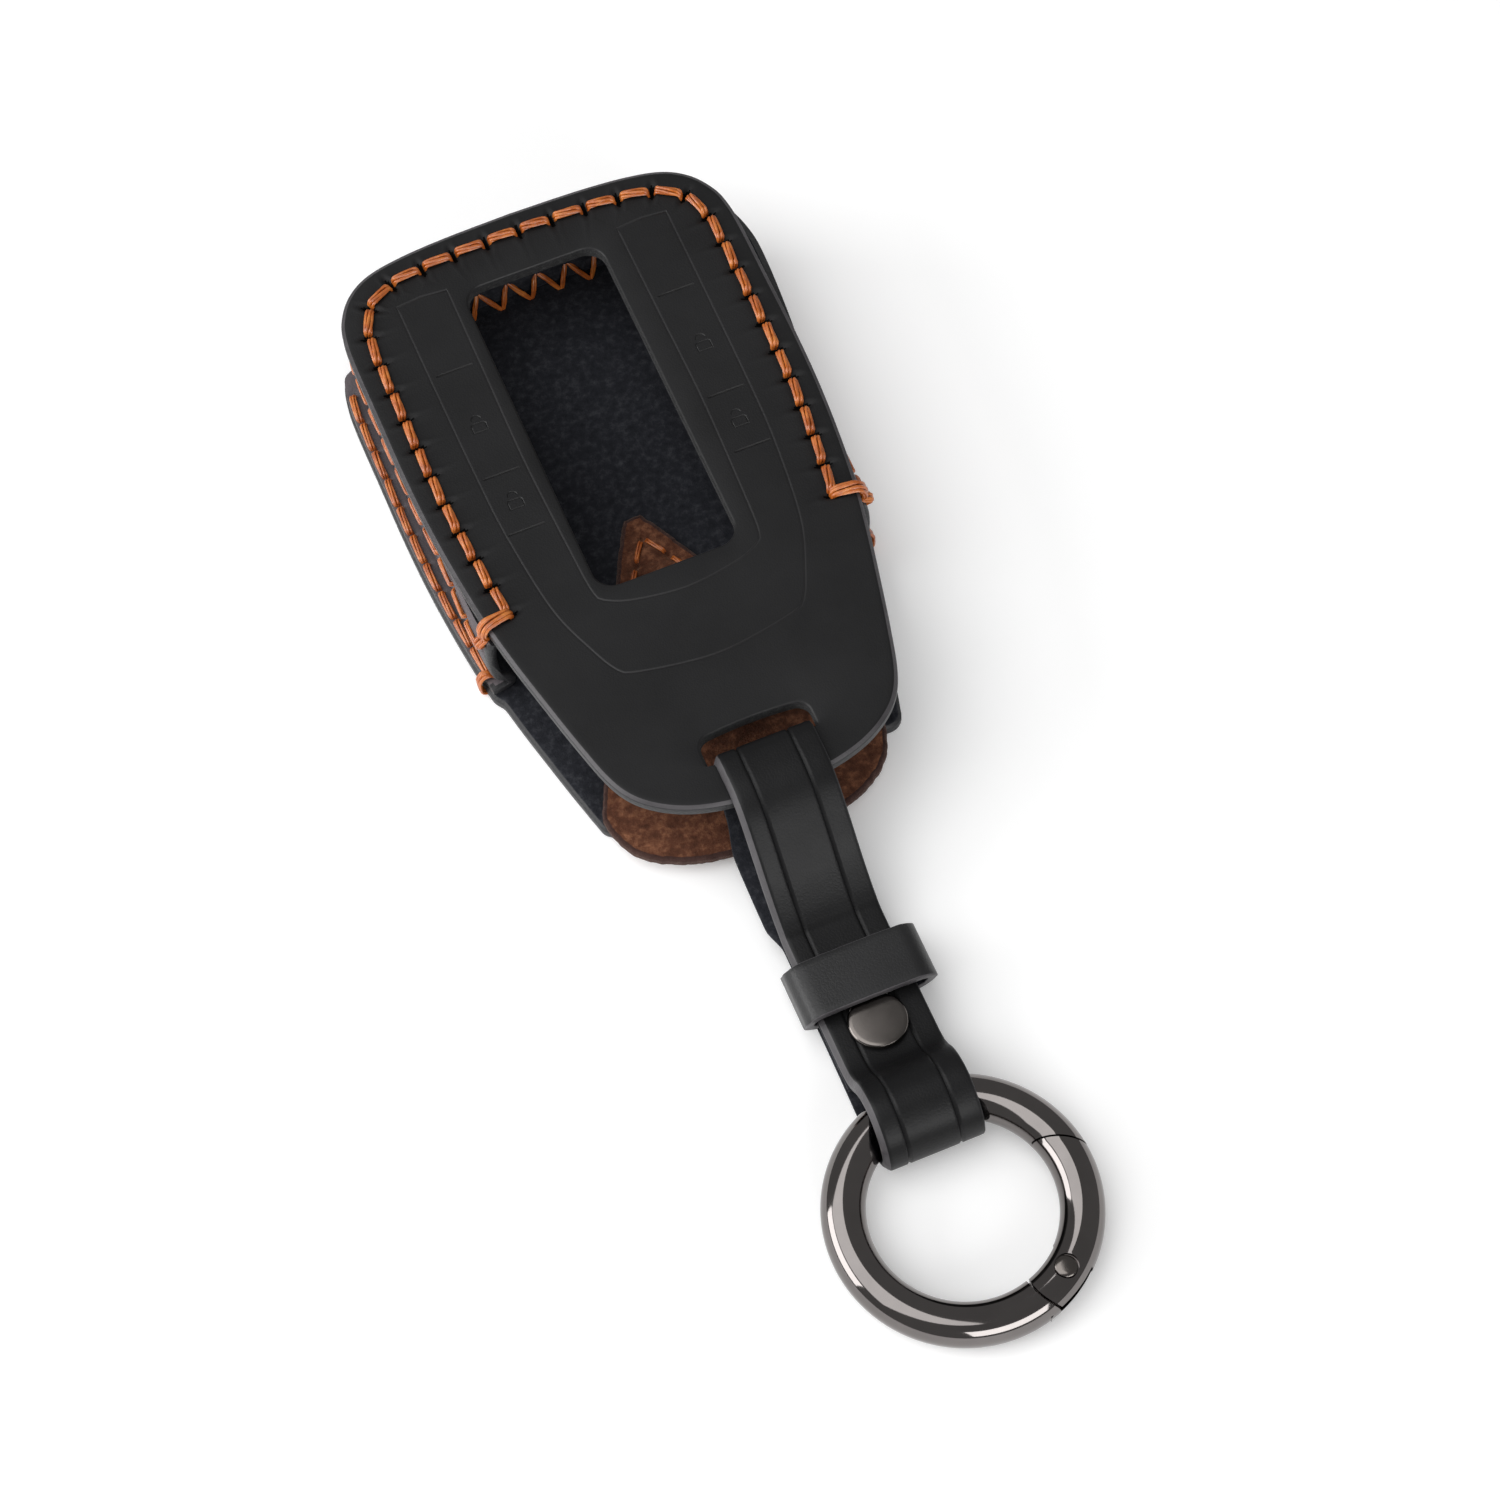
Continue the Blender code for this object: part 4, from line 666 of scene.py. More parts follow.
def fill_flat(shape, loops, lines, height, up, finish=0, pressed=None):
    """Triangles between an outer loop and its openings; a line is points, closed, depth."""
    flat, known, sinks, edges = [], [], [], []
    for loop in loops:
        start = len(flat)
        flat += [Vector((shape.points[i].x, shape.points[i].y)) for i in loop]
        known += loop
        sinks += [0.0] * len(loop)
        edges += [(start + i, start + (i + 1) % len(loop)) for i in range(len(loop))]
    for points, closed, depth in lines:
        start = len(flat)
        flat += points
        known += [None] * len(points)
        sinks += [depth] * len(points)
        last = len(points) if closed else len(points) - 1
        edges += [(start + i, start + (i + 1) % len(points)) for i in range(last)]
    spots, _, triangles, sources, _, _ = delaunay_2d_cdt(flat, edges, [], 0, 1e-4)
    table, floor_points = [], set()
    for number, (spot, source) in enumerate(zip(spots, sources)):
        index = known[source[0]] if source else None
        sink = sinks[source[0]] if source else 0.0
        if sink > 0.0:
            floor_points.add(number)
        table.append(shape.add([(spot.x, spot.y, height - up * sink)])[0] if index is None else index)
    corners = ([spots[i] for i in triangle] for triangle in triangles)
    centres = np.array([[sum(p.x for p in three) / 3, sum(p.y for p in three) / 3] for three in corners])
    keep = inside([flat[i] for i in range(len(loops[0]))], centres)
    start = len(loops[0])
    for loop in loops[1:]:
        keep &= ~inside(flat[start:start + len(loop)], centres)
        start += len(loop)
    for triangle, good in zip(triangles, keep):
        if good:
            low = pressed is not None and any(i in floor_points for i in triangle)
            shape.face([table[i] for i in triangle], pressed if low else finish)


# %% Pressed lines
def crease_lines(points, closed, depth, half_width):
    """Lines that make one pressed line: its floor and the two shoulders on each side."""
    out = [(points, closed, depth)]
    for amount in (half_width, half_width * 1.5):
        one, other = (moved(points, reach, closed) for reach in (amount, -amount))
        if closed:
            out += [(one, True, 0.0), (other, True, 0.0)]
        else:
            before = points[0] - (points[1] - points[0]).normalized() * amount
            after = points[-1] + (points[-1] - points[-2]).normalized() * amount
            out.append((one + [after] + list(reversed(other)) + [before], True, 0.0))
    return out


# Shares of an edge's easing and of the thickness, from the underside up.
EDGE_PROFILE = ((1.0, 0.0), (0.4, 0.04), (0.1, 0.13), (0.0, 0.28), (0.0, 0.66), (0.02, 0.76),
                (0.09, 0.80), (0.80, 0.955), (0.98, 0.985), (1.25, 1.0))
OPENING_PROFILE = ((0.8, 0.0), (0.2, 0.1), (0.0, 0.25), (0.0, 0.7), (0.2, 0.88), (0.6, 0.97), (1.0, 1.0))
EDGE_BEVEL, OPENING_BEVEL = 6, 4  # the step of each profile that is the bevel
FACE_SHARE = 0.9  # above this share of the thickness the edge follows the relief


def level(point, inset):
    return 0.0


def leather_sheet(outline, low, high, edge, top_rings=(), openings=(), top_lines=(), under_lines=(),
                  relief=level, rim=0, bevel=1, pressed=0):
    """Closed sheet of leather. Finishes: 0 top, 1 cut edge, 2 underside, 3 cut edge of openings."""
    shape = Shape()
    thick = high - low
    rows = []
    for ease, rise in EDGE_PROFILE:
        inset, base = edge * ease, low + thick * rise
        lift = relief if rise > FACE_SHARE else level
        rows.append(shape.add((p.x, p.y, base + lift(p, inset)) for p in moved(outline, inset, True)))
    for i, (a, b) in enumerate(zip(rows, rows[1:])):
        shape.bridge(a, b, rim if i > EDGE_BEVEL else bevel if i == EDGE_BEVEL else 1)
    outer_low, outer_high = rows[0], rows[-1]
    for inset in top_rings:
        row = shape.add((p.x, p.y, high + relief(p, inset)) for p in moved(outline, inset, True))
        shape.bridge(outer_high, row, rim)
        outer_high = row
    low_loops, high_loops = [outer_low], [outer_high]
    for opening, ease in openings:
        rows = [shape.add((p.x, p.y, low + thick * rise) for p in moved(opening, -ease * share, True))
                for share, rise in OPENING_PROFILE]
        for i, (a, b) in enumerate(zip(rows, rows[1:])):
            shape.bridge(a, b, 3 if i < OPENING_BEVEL else pressed if i == OPENING_BEVEL else 0)
        low_loops.append(rows[0])
        high_loops.append(rows[-1])
    fill_flat(shape, high_loops, list(top_lines), high, 1, 0, pressed)
    fill_flat(shape, low_loops, list(under_lines), low, -1, 2)
    return shape


print("sheet helper ready")

# %% [markdown]
# ## The front panel
#
# The front is a single thick piece with a window for the key's display and a slot for the strap.
# Pressed lines mark where the buttons are, and four of the fields carry a small padlock. The
# lines could be a bump map, but real grooves also show in the outline of the highlights, so they
# are cut into the mesh.

# %% Front panel
WINDOW_WIDTH, WINDOW_LENGTH, WINDOW_X, WINDOW_Y, WINDOW_CORNER = 19.7, 50.8, -0.7, 13.0, 2.8
SLOT_WIDTH, SLOT_LENGTH, SLOT_CENTRE_Y, SLOT_CORNER, SLOT_ARCH = 15.0, 4.9, -40.4, 1.6, 0.5
FRONT_EDGE, WINDOW_EDGE, SLOT_EDGE = 0.62, 0.38, 0.45


def rounded_box(width, length, centre_y, corner, steps=8, centre_x=0.0):
    outline = []
    for turn in range(4):
        sign_x = 1 if turn in (0, 3) else -1
        sign_y = 1 if turn in (0, 1) else -1
        middle = Vector((centre_x + sign_x * (width / 2 - corner), centre_y + sign_y * (length / 2 - corner)))
        for i in range(steps + 1):
            angle = math.pi / 2 * (turn + i / steps)
            outline.append(middle + Vector((math.cos(angle), math.sin(angle))) * corner)
    return outline


def mirror_line(half):
    """Line from the left over the middle to the right, from its right half listed outside in."""
    return [Vector((-x, y)) for x, y in half] + [Vector((x, y)) for x, y in reversed(half)][1:]


window = spaced(rounded_box(WINDOW_WIDTH, WINDOW_LENGTH, WINDOW_Y, WINDOW_CORNER, 8, WINDOW_X),
                CUT_STEP, closed=True)
slot = []
for spot in spaced(rounded_box(SLOT_WIDTH, SLOT_LENGTH, SLOT_CENTRE_Y, SLOT_CORNER), 0.3 / FINE, closed=True):
    arch = SLOT_ARCH * (1 - (spot.x / (SLOT_WIDTH / 2)) ** 2) if spot.y > SLOT_CENTRE_Y else 0.0
    slot.append(Vector((spot.x, spot.y + arch)))

OUTER_BAND = ((19.6, 39.6), (19.5, 25.0), (19.3, 10.0), (18.9, 0.0), (17.4, -12.7), (14.8, -20.5),
              (13.1, -24.1), (11.5, -25.4), (5.2, -26.7), (0.0, -27.2))
INNER_BAND = ((12.4, 39.6), (12.5, 25.0), (12.6, 10.0), (12.1, -5.0), (11.6, -12.6), (10.3, -14.3),
              (6.9, -15.6), (0.0, -16.5))
BAND_TOP = Vector((16.0, 39.9))
DIVIDER_LEVELS, DIVIDER_SPOTS = (27.0, 9.3, 0.0), (13.5, 15.2, 16.9, 18.5)
PRESS_DEPTH, PRESS_HALF = 0.14, 0.20
LOCK_SPOTS, LOCK_DEPTH, LOCK_LINE, SHACKLE = ((16.1, 17.6), (15.9, 4.6)), 0.10, 0.12, 0.62
LOCK_BODY = ((-1.0, -1.1), (1.0, -1.1), (1.0, 0.3), (-1.0, 0.3))
outer_band, inner_band = (spaced(curve(mirror_line(half), 6), 1.0) for half in (OUTER_BAND, INNER_BAND))
band = outer_band + [BAND_TOP] + list(reversed(inner_band)) + [Vector((-BAND_TOP.x, BAND_TOP.y))]
press_lines = crease_lines(band, True, PRESS_DEPTH * 0.6, PRESS_HALF)
for side in (-1, 1):
    for height in DIVIDER_LEVELS:
        divider = [Vector((side * x, height)) for x in DIVIDER_SPOTS]
        press_lines += crease_lines(divider, False, PRESS_DEPTH * 1.2, PRESS_HALF)


def padlock(x, y):
    """Generic padlock mark: a square body and a shackle."""
    body = [Vector((x + a, y + b)) for a, b in LOCK_BODY]
    shackle = [Vector((x + SHACKLE * math.cos(a), y + 0.95 + SHACKLE * math.sin(a)))
               for a in (math.pi * i / 8 for i in range(9))]
    lines = crease_lines(spaced(body, 0.4, closed=True), True, LOCK_DEPTH, LOCK_LINE)
    return lines + crease_lines(shackle, False, LOCK_DEPTH, LOCK_LINE)


for side in (-1, 1):
    for x, y in LOCK_SPOTS:
        press_lines += padlock(side * x, y)


TROUGH_DEPTH, TROUGH_WIDE, RIM_DROOP = 0.14, 0.8, 0.16
SEAM_RINGS = (1.4, 1.9, 2.25, 2.55, 2.8, 3.05, 3.3, 3.5, 3.7, 3.95, 4.2, 4.5, 4.8, 5.2, 5.7)
# The bevel's finish number picks the grey of its painted highlight.
BEVEL_HIGHLIGHT_FINISH, PRESSED_FINISH, HOLE_SHADE_FINISH = 4, 5, 6
FRONT_HOLE_DEPTH, FRONT_HOLE_RADIUS, FRONT_HOLE_LIP = 0.85, 0.42, 0.07


def seam_trough(point, inset):
    """The pulled stitches draw the leather down along the seam, and the rim outside it droops."""
    share = smoothstep((point.y - GUSSET_END_Y) / 2.5)
    trough = TROUGH_DEPTH * math.exp(-(((inset - SEAM_INSET) / TROUGH_WIDE) ** 2))
    droop = RIM_DROOP * max(0.0, 1 - inset / SEAM_INSET) ** 1.5
    return -share * (trough + droop)


front = leather_sheet(
    front_outline, FRONT_LOW, CASE_HEIGHT, FRONT_EDGE, SEAM_RINGS, ((window, WINDOW_EDGE), (slot, SLOT_EDGE)),
    press_lines, relief=seam_trough, bevel=BEVEL_HIGHLIGHT_FINISH, pressed=PRESSED_FINISH,
)
DOWN, UP = Vector((0.0, 0.0, -1.0)), Vector((0.0, 0.0, 1.0))
front_spots = at_height(front_holes, CASE_HEIGHT)
slits = at_height(left_normals(front_holes), 0.0)
# The faces at each hole get the near-black painted shade finish.
press_holes(front, [(p, DOWN, slit) for p, slit in zip(front_spots, slits)],
            FRONT_HOLE_DEPTH, FRONT_HOLE_RADIUS, FRONT_HOLE_LIP, HOLE_SHADE_FINISH)
# The front panel's bevel row wears the painted highlight grey.
finish_piece("front_panel_leather", front, "case",
             (BLACK_GRAIN, EDGE_PAINT, FLESH_SIDE, RAW_EDGE, BEVEL_PAINTED_HIGHLIGHT, PRESSED_GRAIN, HOLE_PAINTED_SHADE),
             ("front_panel",), sharp=34.0)

# %% [markdown]
# ## The gusset
#
# One strip of thinner leather makes the side wall. It stands under the front panel's edge, is a
# little hollow, and turns outwards at its foot, where it is sewn on the rear panel. At the open
# end it splays out. A section swept along the pattern line gives all of that, and the stitch
# holes are sunk in afterwards.

# %% Gusset
SIDE_WALL = ((0.0, 1.0, 0.6, 1.0), (0.35, 0.83, 1.0, 0.65), (0.9, 0.56, 1.2, 0.35), (1.2, 0.30, 1.05, 0.15),
             (1.4, 0.12, 0.2, 0.0), (1.0, 0.035, 0.0, 0.0), (0.1, 0.0, 0.0, 0.0))
TOP_WALL = ((0.0, 1.0), (0.2, 0.83), (0.5, 0.56), (0.78, 0.30), (0.95, 0.12), (0.98, 0.06), (1.0, 0.01))


def gusset_middle(point):
    """Middle line of the section at a place along the case, as (distance out, height)."""
    low = FLANGE_LOW + GUSSET / 2
    height = WALL_TOP - low
    splay, swell = WALL_SPLAY * splay_share(point.y), WALL_SWELL * swell_share(point)
    side = [(splay * lean + swell * bulge - WALL_INSET - WALL_HOLLOW * hollow, low + height * rise)
            for hollow, rise, lean, bulge in SIDE_WALL] + [(REAR_OVERHANG - FLANGE_SETBACK, low)]
    wall = [(-WALL_INSET - (TOP_WALL_INSET - WALL_INSET) * inward, low + height * rise)
            for inward, rise in TOP_WALL] + [(-TOP_WALL_INSET, FLANGE_LOW)]
    share = side_share(point.y)
    middle = [Vector(a).lerp(Vector(b), share) for a, b in zip(wall, side)]
    return spaced(curve(middle, 6), count=26)


# Distance from the strip's end and the share of the thickness left there; how far in the end is dark.
GUSSET_END_EASE, DARK_END = ((0.0, 0.62), (0.16, 0.9)), 1.1


def gusset_ring(point, normal, thin):
    """Section as a closed loop of points in the case's frame, with eased edges."""
    middle = gusset_middle(point)
    last = len(middle) - 1
    ring = []
    for sign, order in ((1, range(last + 1)), (-1, range(last, -1, -1))):
        for i in order:
            ease = 0.72 if i in (0, last) else 1.0
            across = left_normals(middle)[i]
            spot = middle[i] + across * (sign * GUSSET / 2 * thin * ease)
            out = point - normal * spot.x
            ring.append((out.x, out.y, spot.y))
    return ring


gusset_path = edge_line(GUSSET_END_Y, 0.0, 0.6 / FINE)
gusset_rings = []
for i, (point, normal) in enumerate(zip(gusset_path, left_normals(gusset_path))):
    if 0 < i < len(gusset_path) - 1:
        gusset_rings.append(gusset_ring(point, normal, 1.0))
    else:
        along = Vector((normal.y, -normal.x)) * (-1 if i else 1)
        ends = [gusset_ring(point + along * step, normal, thin) for step, thin in GUSSET_END_EASE]
        gusset_rings += reversed(ends) if i else ends
gusset = Shape()
gusset.skin(gusset_rings)
per_side = len(gusset_rings[0]) // 2
for number, face in enumerate(gusset.faces):
    spots = [i % (per_side * 2) for i in face]
    if len(face) == 4 and all(i >= per_side for i in spots):
        gusset.finish[number] = 1
    elif len(face) > 4 or not all(i < per_side for i in spots):
        gusset.finish[number] = 2
    if gusset.points[face[0]].y < GUSSET_END_Y + DARK_END:
        gusset.finish[number] = 2


def wall_reach(point, height, side=1):
    """Distance of the wall's outer or inner face from the panel's edge at a height."""
    face = moved(gusset_middle(point), side * GUSSET / 2)
    for a, b in zip(face, face[1:]):
        if b.y <= height <= a.y:
            return a.x + (b.x - a.x) * (a.y - height) / (a.y - b.y)
    return face[-1].x


side_path = spaced(edge_line(GUSSET_END_Y + HOLE_LENGTH, 0.0, 0.2), count=STITCHES)
side_spots, side_outs = [], []
for point, normal in zip(side_path, left_normals(side_path)):
    spot = point - normal * wall_reach(point, SIDE_SEAM_HEIGHT)
    side_spots.append(Vector((spot.x, spot.y, SIDE_SEAM_HEIGHT)))
    side_outs.append(Vector((-normal.x, -normal.y, 0.0)))
press_holes(gusset, [(p, -n) for p, n in zip(side_spots, side_outs)], depth=0.5, radius=0.55)
print("side row holes", len(side_spots))

# %% [markdown]
# ## The rear panel
#
# The rear panel shows its flesh side inside the pouch, because the smooth side has to face out.
# Outside, the lower rows of thread lie in grooves so that they don't wear on the table.

# %% Rear outline and seams
REAR_BOTTOM_Y, REAR_CORNER = -38.5, 2.0
REAR_SEAM_TOP_Y, REAR_SEAM_END_Y = 37.6, -11.2


def rear_half_line():
    """Right half of the rear panel's outline, from the top centre to the bottom centre."""
    normals = left_normals([Vector((-front_half[1].x, front_half[1].y))] + front_half)[1:]
    line = []
    for point, normal in zip(front_half, normals):
        share = side_share(point.y)
        reach = REAR_OVERHANG * share - REAR_TOP_INSET * (1 - share)
        reach += (REAR_FRONT_OVERHANG - REAR_OVERHANG) * smoothstep((GUSSET_END_Y + 0.3 - point.y) / 2.0)
        if point.y > REAR_BOTTOM_Y + REAR_CORNER:
            line.append(point + normal * reach)
    last = line[-1]
    for i in range(7):
        angle = math.pi / 2 * i / 6
        line.append(Vector((last.x - REAR_CORNER * (1 - math.cos(angle)) - 0.15 * i / 6,
                            REAR_BOTTOM_Y + REAR_CORNER * (1 - math.sin(angle)))))
    return line + [Vector((0.0, REAR_BOTTOM_Y))]


rear_half = rear_half_line()
rear_outline = spaced(mirrored(rear_half), 0.5 / FINE, closed=True)


def rear_seam(side):
    """Stitch holes of one rear seam, from its lower end up."""
    line = [p for p in moved(list(reversed(rear_half)), REAR_SEAM_INSET)
            if REAR_SEAM_END_Y - 0.2 <= p.y <= REAR_SEAM_TOP_Y + 0.2 and p.x > 15]
    return [Vector((p.x * side, p.y)) for p in spaced(line, STITCH_PITCH)]


rear_seams = {side: rear_seam(side) for side in (1, -1)}
flange_spots = [spot for seam in rear_seams.values() for spot in at_height(seam, FLANGE_TOP)]
press_holes(gusset, [(p, DOWN) for p in flange_spots], depth=0.5, radius=0.5)
# The wall's outer face wears the painted sheen colour.
finish_piece("side_gusset_leather", gusset, "case",
             (WALL_PAINTED_SHEEN, FLESH_SIDE, EDGE_PAINT), ("side_gusset",), sharp=50.0)

# %% Tongue outline and seam
TONGUE_TOP_Y, TONGUE_BOTTOM_Y, TONGUE_HALF, TIP_HALF = 4.1, -48.5, 19.65, 1.6
TONGUE = 1.4
TONGUE_TOP = FLANGE_LOW + TONGUE
TONGUE_SEAM_INSET, TONGUE_SEAM_END_Y = 2.3, -27.0
TONGUE_SHARES = ((0.30, 0.17), (0.62, 0.45), (0.90, 0.69), (0.99, 0.765), (1.0, 0.80), (0.965, 0.85),
                 (0.88, 0.905), (0.70, 0.955), (0.47, 0.985), (0.24, 0.997), (0.0, 1.0))
tongue_corners = [Vector((TIP_HALF, TONGUE_TOP_Y))]
tongue_corners += [Vector((x * TONGUE_HALF, TONGUE_TOP_Y - y * (TONGUE_TOP_Y - TONGUE_BOTTOM_Y)))
                   for x, y in TONGUE_SHARES]


def tongue_seam():
    """Stitch holes of the tongue, up its left side, over the tip and down the right."""
    right = [p - n * TONGUE_SEAM_INSET for p, n in zip(tongue_corners, left_normals(tongue_corners))
             if p.y > TONGUE_SEAM_END_Y]
    after = next(p for p in tongue_corners if p.y <= TONGUE_SEAM_END_Y)
    right.append(Vector((after.x - TONGUE_SEAM_INSET, TONGUE_SEAM_END_Y)))
    holes = spaced([Vector((0.0, TONGUE_TOP_Y - TONGUE_SEAM_INSET * 1.6))] + right[1:], STITCH_PITCH)
    return flipped(reversed(holes[1:])) + holes


def tongue_slip(point):
    """The tongue lies a little to the left, most at its lower end."""
    return Vector((point.x - 0.45 - 0.75 * smoothstep(-point.y / 28.0), point.y))


tongue_holes = [tongue_slip(p) for p in tongue_seam()]

# %% Rear panel
GROOVE, GROOVE_HALF, SIDE_GROOVE_HALF = 0.85, 1.0, 0.66
GROOVE_STEP, GROOVE_RUNOUT, REAR_EDGE, REAR_RINGS = 1.2, 0.9, 0.55, (1.2, 1.8)


def sewing_groove(holes, wide):
    """U-shaped groove under the rear panel: a level floor and two shoulders."""
    line = spaced(holes, GROOVE_STEP)
    before = line[0] - (line[1] - line[0]).normalized() * GROOVE_RUNOUT
    after = line[-1] + (line[-1] - line[-2]).normalized() * GROOVE_RUNOUT
    line = [before] + line + [after]
    return [(moved(line, half) + list(reversed(moved(line, -half))), True, depth)
            for half, depth in ((wide * 0.8, GROOVE), (wide, 0.0))]


tip_hole = len(tongue_holes) // 2
grooves = [(seam, SIDE_GROOVE_HALF) for seam in rear_seams.values()]
grooves += [(tongue_holes[:tip_hole], GROOVE_HALF), (tongue_holes[tip_hole + 1:], GROOVE_HALF)]
under_lines = [line for holes, wide in grooves for line in sewing_groove(holes, wide)]
rear = leather_sheet(rear_outline, 0.0, PANEL, REAR_EDGE, REAR_RINGS, under_lines=under_lines)
finish_piece("rear_panel_leather", rear, "case",
             (FLESH_SIDE, EDGE_PAINT, BLACK_GRAIN), ("rear_panel",), sharp=34.0)

# %% [markdown]
# ## The suede tongue
#
# A tongue of brown suede guards the key from the strap. Its edge is torn by the die, so the outline
# gets a little noise, and each stitch pulls a small dent into its face.

# %% Suede tongue
tip = [Vector((0.0, TONGUE_TOP_Y)), Vector((0.9, TONGUE_TOP_Y - 0.12)), Vector((1.8, TONGUE_TOP_Y - 0.9))]
tongue_side = curve(tip + tongue_corners[1:], 8)[1:]
tongue_outline = spaced(flipped(tongue_side[:-1]) + list(reversed(tongue_side)), CUT_STEP, closed=True)


def torn(points, amount, scale):
    """An outline with the small irregularity of a torn edge."""
    out = []
    for point, normal in zip(points, left_normals(points, True)):
        wander = noise.noise(Vector((point.x * scale, point.y * scale, 3.1)))
        wander += 0.5 * noise.noise(Vector((point.x * scale * 2.7, point.y * scale * 2.7, 8.4)))
        out.append(point + normal * (amount * (wander + 0.5)))
    return out


# Each hole in the tongue's face as circles: radius, number of points and depth.
DENT_CIRCLES = ((0.75, 12, 0.0), (0.45, 12, 0.22), (0.2, 8, 0.6))
TEAR_DEPTH, TEAR_SCALE, TONGUE_EDGE = 0.16, 0.9, 0.3
tongue_dents = [(circle(hole, radius, count), True, depth)
                for hole in tongue_holes for radius, count, depth in DENT_CIRCLES]
torn_outline = torn([tongue_slip(p) for p in tongue_outline], TEAR_DEPTH, TEAR_SCALE)
tongue = leather_sheet(torn_outline, FLANGE_LOW, TONGUE_TOP, TONGUE_EDGE, (0.6,), (), tongue_dents, rim=1)
finish_piece("suede_tongue_nap", tongue, "case",
             (SUEDE, SUEDE_EDGE, SUEDE, SUEDE_EDGE), ("suede_tongue",), sharp=50.0)

# %% [markdown]
# ## Sewing thread
#
# Saddle-stitched thread is fat, flat and plied. A texture on a bar would never catch the light the
# way separate strands do, so each stitch is three or five small tubes that wind round each other,
# pinch into the holes and bulge between them.

# %% Stitches
def tube(shape, line, radii, across, sides=6):
    """Round tube along a line; across is a direction that the line never runs in."""
    rings = []
    for i, point in enumerate(line):
        ahead = line[min(i + 1, len(line) - 1)] - line[max(i - 1, 0)]
        out = across - ahead * (across.dot(ahead) / ahead.length_squared)
        out.normalize()
        over = ahead.cross(out).normalized()
        rings.append([point + (out * math.cos(a) + over * math.sin(a)) * radii[i] for a in turns(sides)])
    shape.skin(rings)


def pinch(share, ends, power=1.0):
    """Thickness along a thread that is pinched at both ends: ends there, 1 in the middle."""
    return ends + (1 - ends) * math.sin(math.pi * share) ** power


STITCH_SINK, STITCH_FLOAT = -0.75, 0.08  # how deep a stitch's ends go, and its gap to the leather


def stitch(shape, start, end, up, next_up, width, height, slant=0.0, bow=0.0, gap=0.6, strands=5, twist=2.4):
    """One stitch from hole to hole."""
    along = (end - start).normalized()
    span = (end - start).length
    level = STITCH_FLOAT + height / 2
    side = (up + next_up).normalized().cross(along).normalized()
    rise = ((gap * 0.80, STITCH_SINK), (gap * 0.80, STITCH_SINK * 0.25), (gap * 1.05, level * 0.72),
            (gap * 1.7, level * 0.97))
    fall = tuple((span - x, z) for x, z in reversed(rise))
    middle = curve([Vector(p) for p in (*rise, (span * 0.5, level * 1.04), *fall)], 2)
    strand = width * (0.165 if strands > 4 else 0.2)
    turn = random.uniform(0.0, math.tau)
    for k in range(strands):
        line, radii = [], []
        for i, spot in enumerate(middle):
            share = i / (len(middle) - 1)
            swell = pinch(share, 0.62, 0.4)
            angle = turn + math.tau * k / strands + twist * (share - 0.5)
            lateral = math.cos(angle) * (width / 2 - strand) * swell
            lateral += slant * (share - 0.5) + bow * math.sin(math.pi * share)
            lift = spot.y + math.sin(angle) * (height / 2 - strand * 0.7) * swell
            lean = up.lerp(next_up, spot.x / span).normalized()
            line.append(start + along * spot.x + side * lateral + lean * lift)
            radii.append(strand * (0.75 + 0.25 * swell))
        tube(shape, line, radii, side)


def sew(shape, spots, ups, width, height, **shaping):
    for start, end, up, next_up in zip(spots, spots[1:], ups, ups[1:]):
        stitch(shape, start, end, up, next_up, width, height, **shaping)


def tack(shape, route, lateral, spread, strand, strands=6, depth=0.5):
    """Bundle of twisted strands along a route of points, pinched at both ends."""
    middle = curve(route, 4)
    for k in range(strands):
        line, radii = [], []
        for i, spot in enumerate(middle):
            share = i / (len(middle) - 1)
            fan = pinch(share, 0.3, 0.5)
            ahead = (middle[min(i + 1, len(middle) - 1)] - middle[max(i - 1, 0)]).normalized()
            angle = math.tau * (k + 0.3) / strands + 2.2 * (share - 0.5)
            across, above = math.cos(angle) * spread, math.sin(angle) * spread * depth
            line.append(spot + (lateral * across + lateral.cross(ahead) * above) * fan)
            radii.append(strand * (0.8 + 0.2 * fan))
        tube(shape, line, radii, lateral)


def thread_piece(name, shape, node):
    finish_piece(name, shape, "case", (ORANGE_THREAD,), (node,), sharp=60.0)


# %% Front seam
# The tack at each end runs from the last hole over the panel's edge to the side row: distance and height.
FRONT_TACK = ((-0.05, -0.8), (-0.1, 0.1), (0.5, 0.58), (SEAM_INSET * 0.6, 0.66), (SEAM_INSET - 0.2, 0.55),
              (SEAM_INSET + 0.5, -0.25), (SEAM_INSET + 0.65, -1.3), (SEAM_INSET + 0.35, -2.2))
TACK_END = ((0.45, -2.9), (0.05, -3.4), (-0.5, -3.5))
front_thread = Shape()
sew(front_thread, front_spots, [UP] * len(front_spots), width=1.32, height=0.80,
    slant=-0.42, bow=-0.05, gap=0.68)
for end in (0, -1):
    hole, side_hole, out = front_spots[end], side_spots[end], side_outs[end]
    face = (side_hole - hole).dot(out)
    run = Vector((side_hole.x - hole.x, side_hole.y - hole.y, 0.0)).normalized()
    route = [*FRONT_TACK, *((face + a, b) for a, b in TACK_END)]
    points = [Vector((hole.x + run.x * a, hole.y + run.y * a, CASE_HEIGHT + b)) for a, b in route]
    tack(front_thread, points, Vector((-run.y, run.x, 0.0)), spread=0.72, strand=0.27)
thread_piece("front_seam_strands", front_thread, "front_seam_thread")

side_thread = Shape()
sew(side_thread, side_spots, side_outs, width=1.0, height=0.6, slant=0.25, strands=3, gap=0.5)
thread_piece("front_side_strands", side_thread, "front_side_thread")

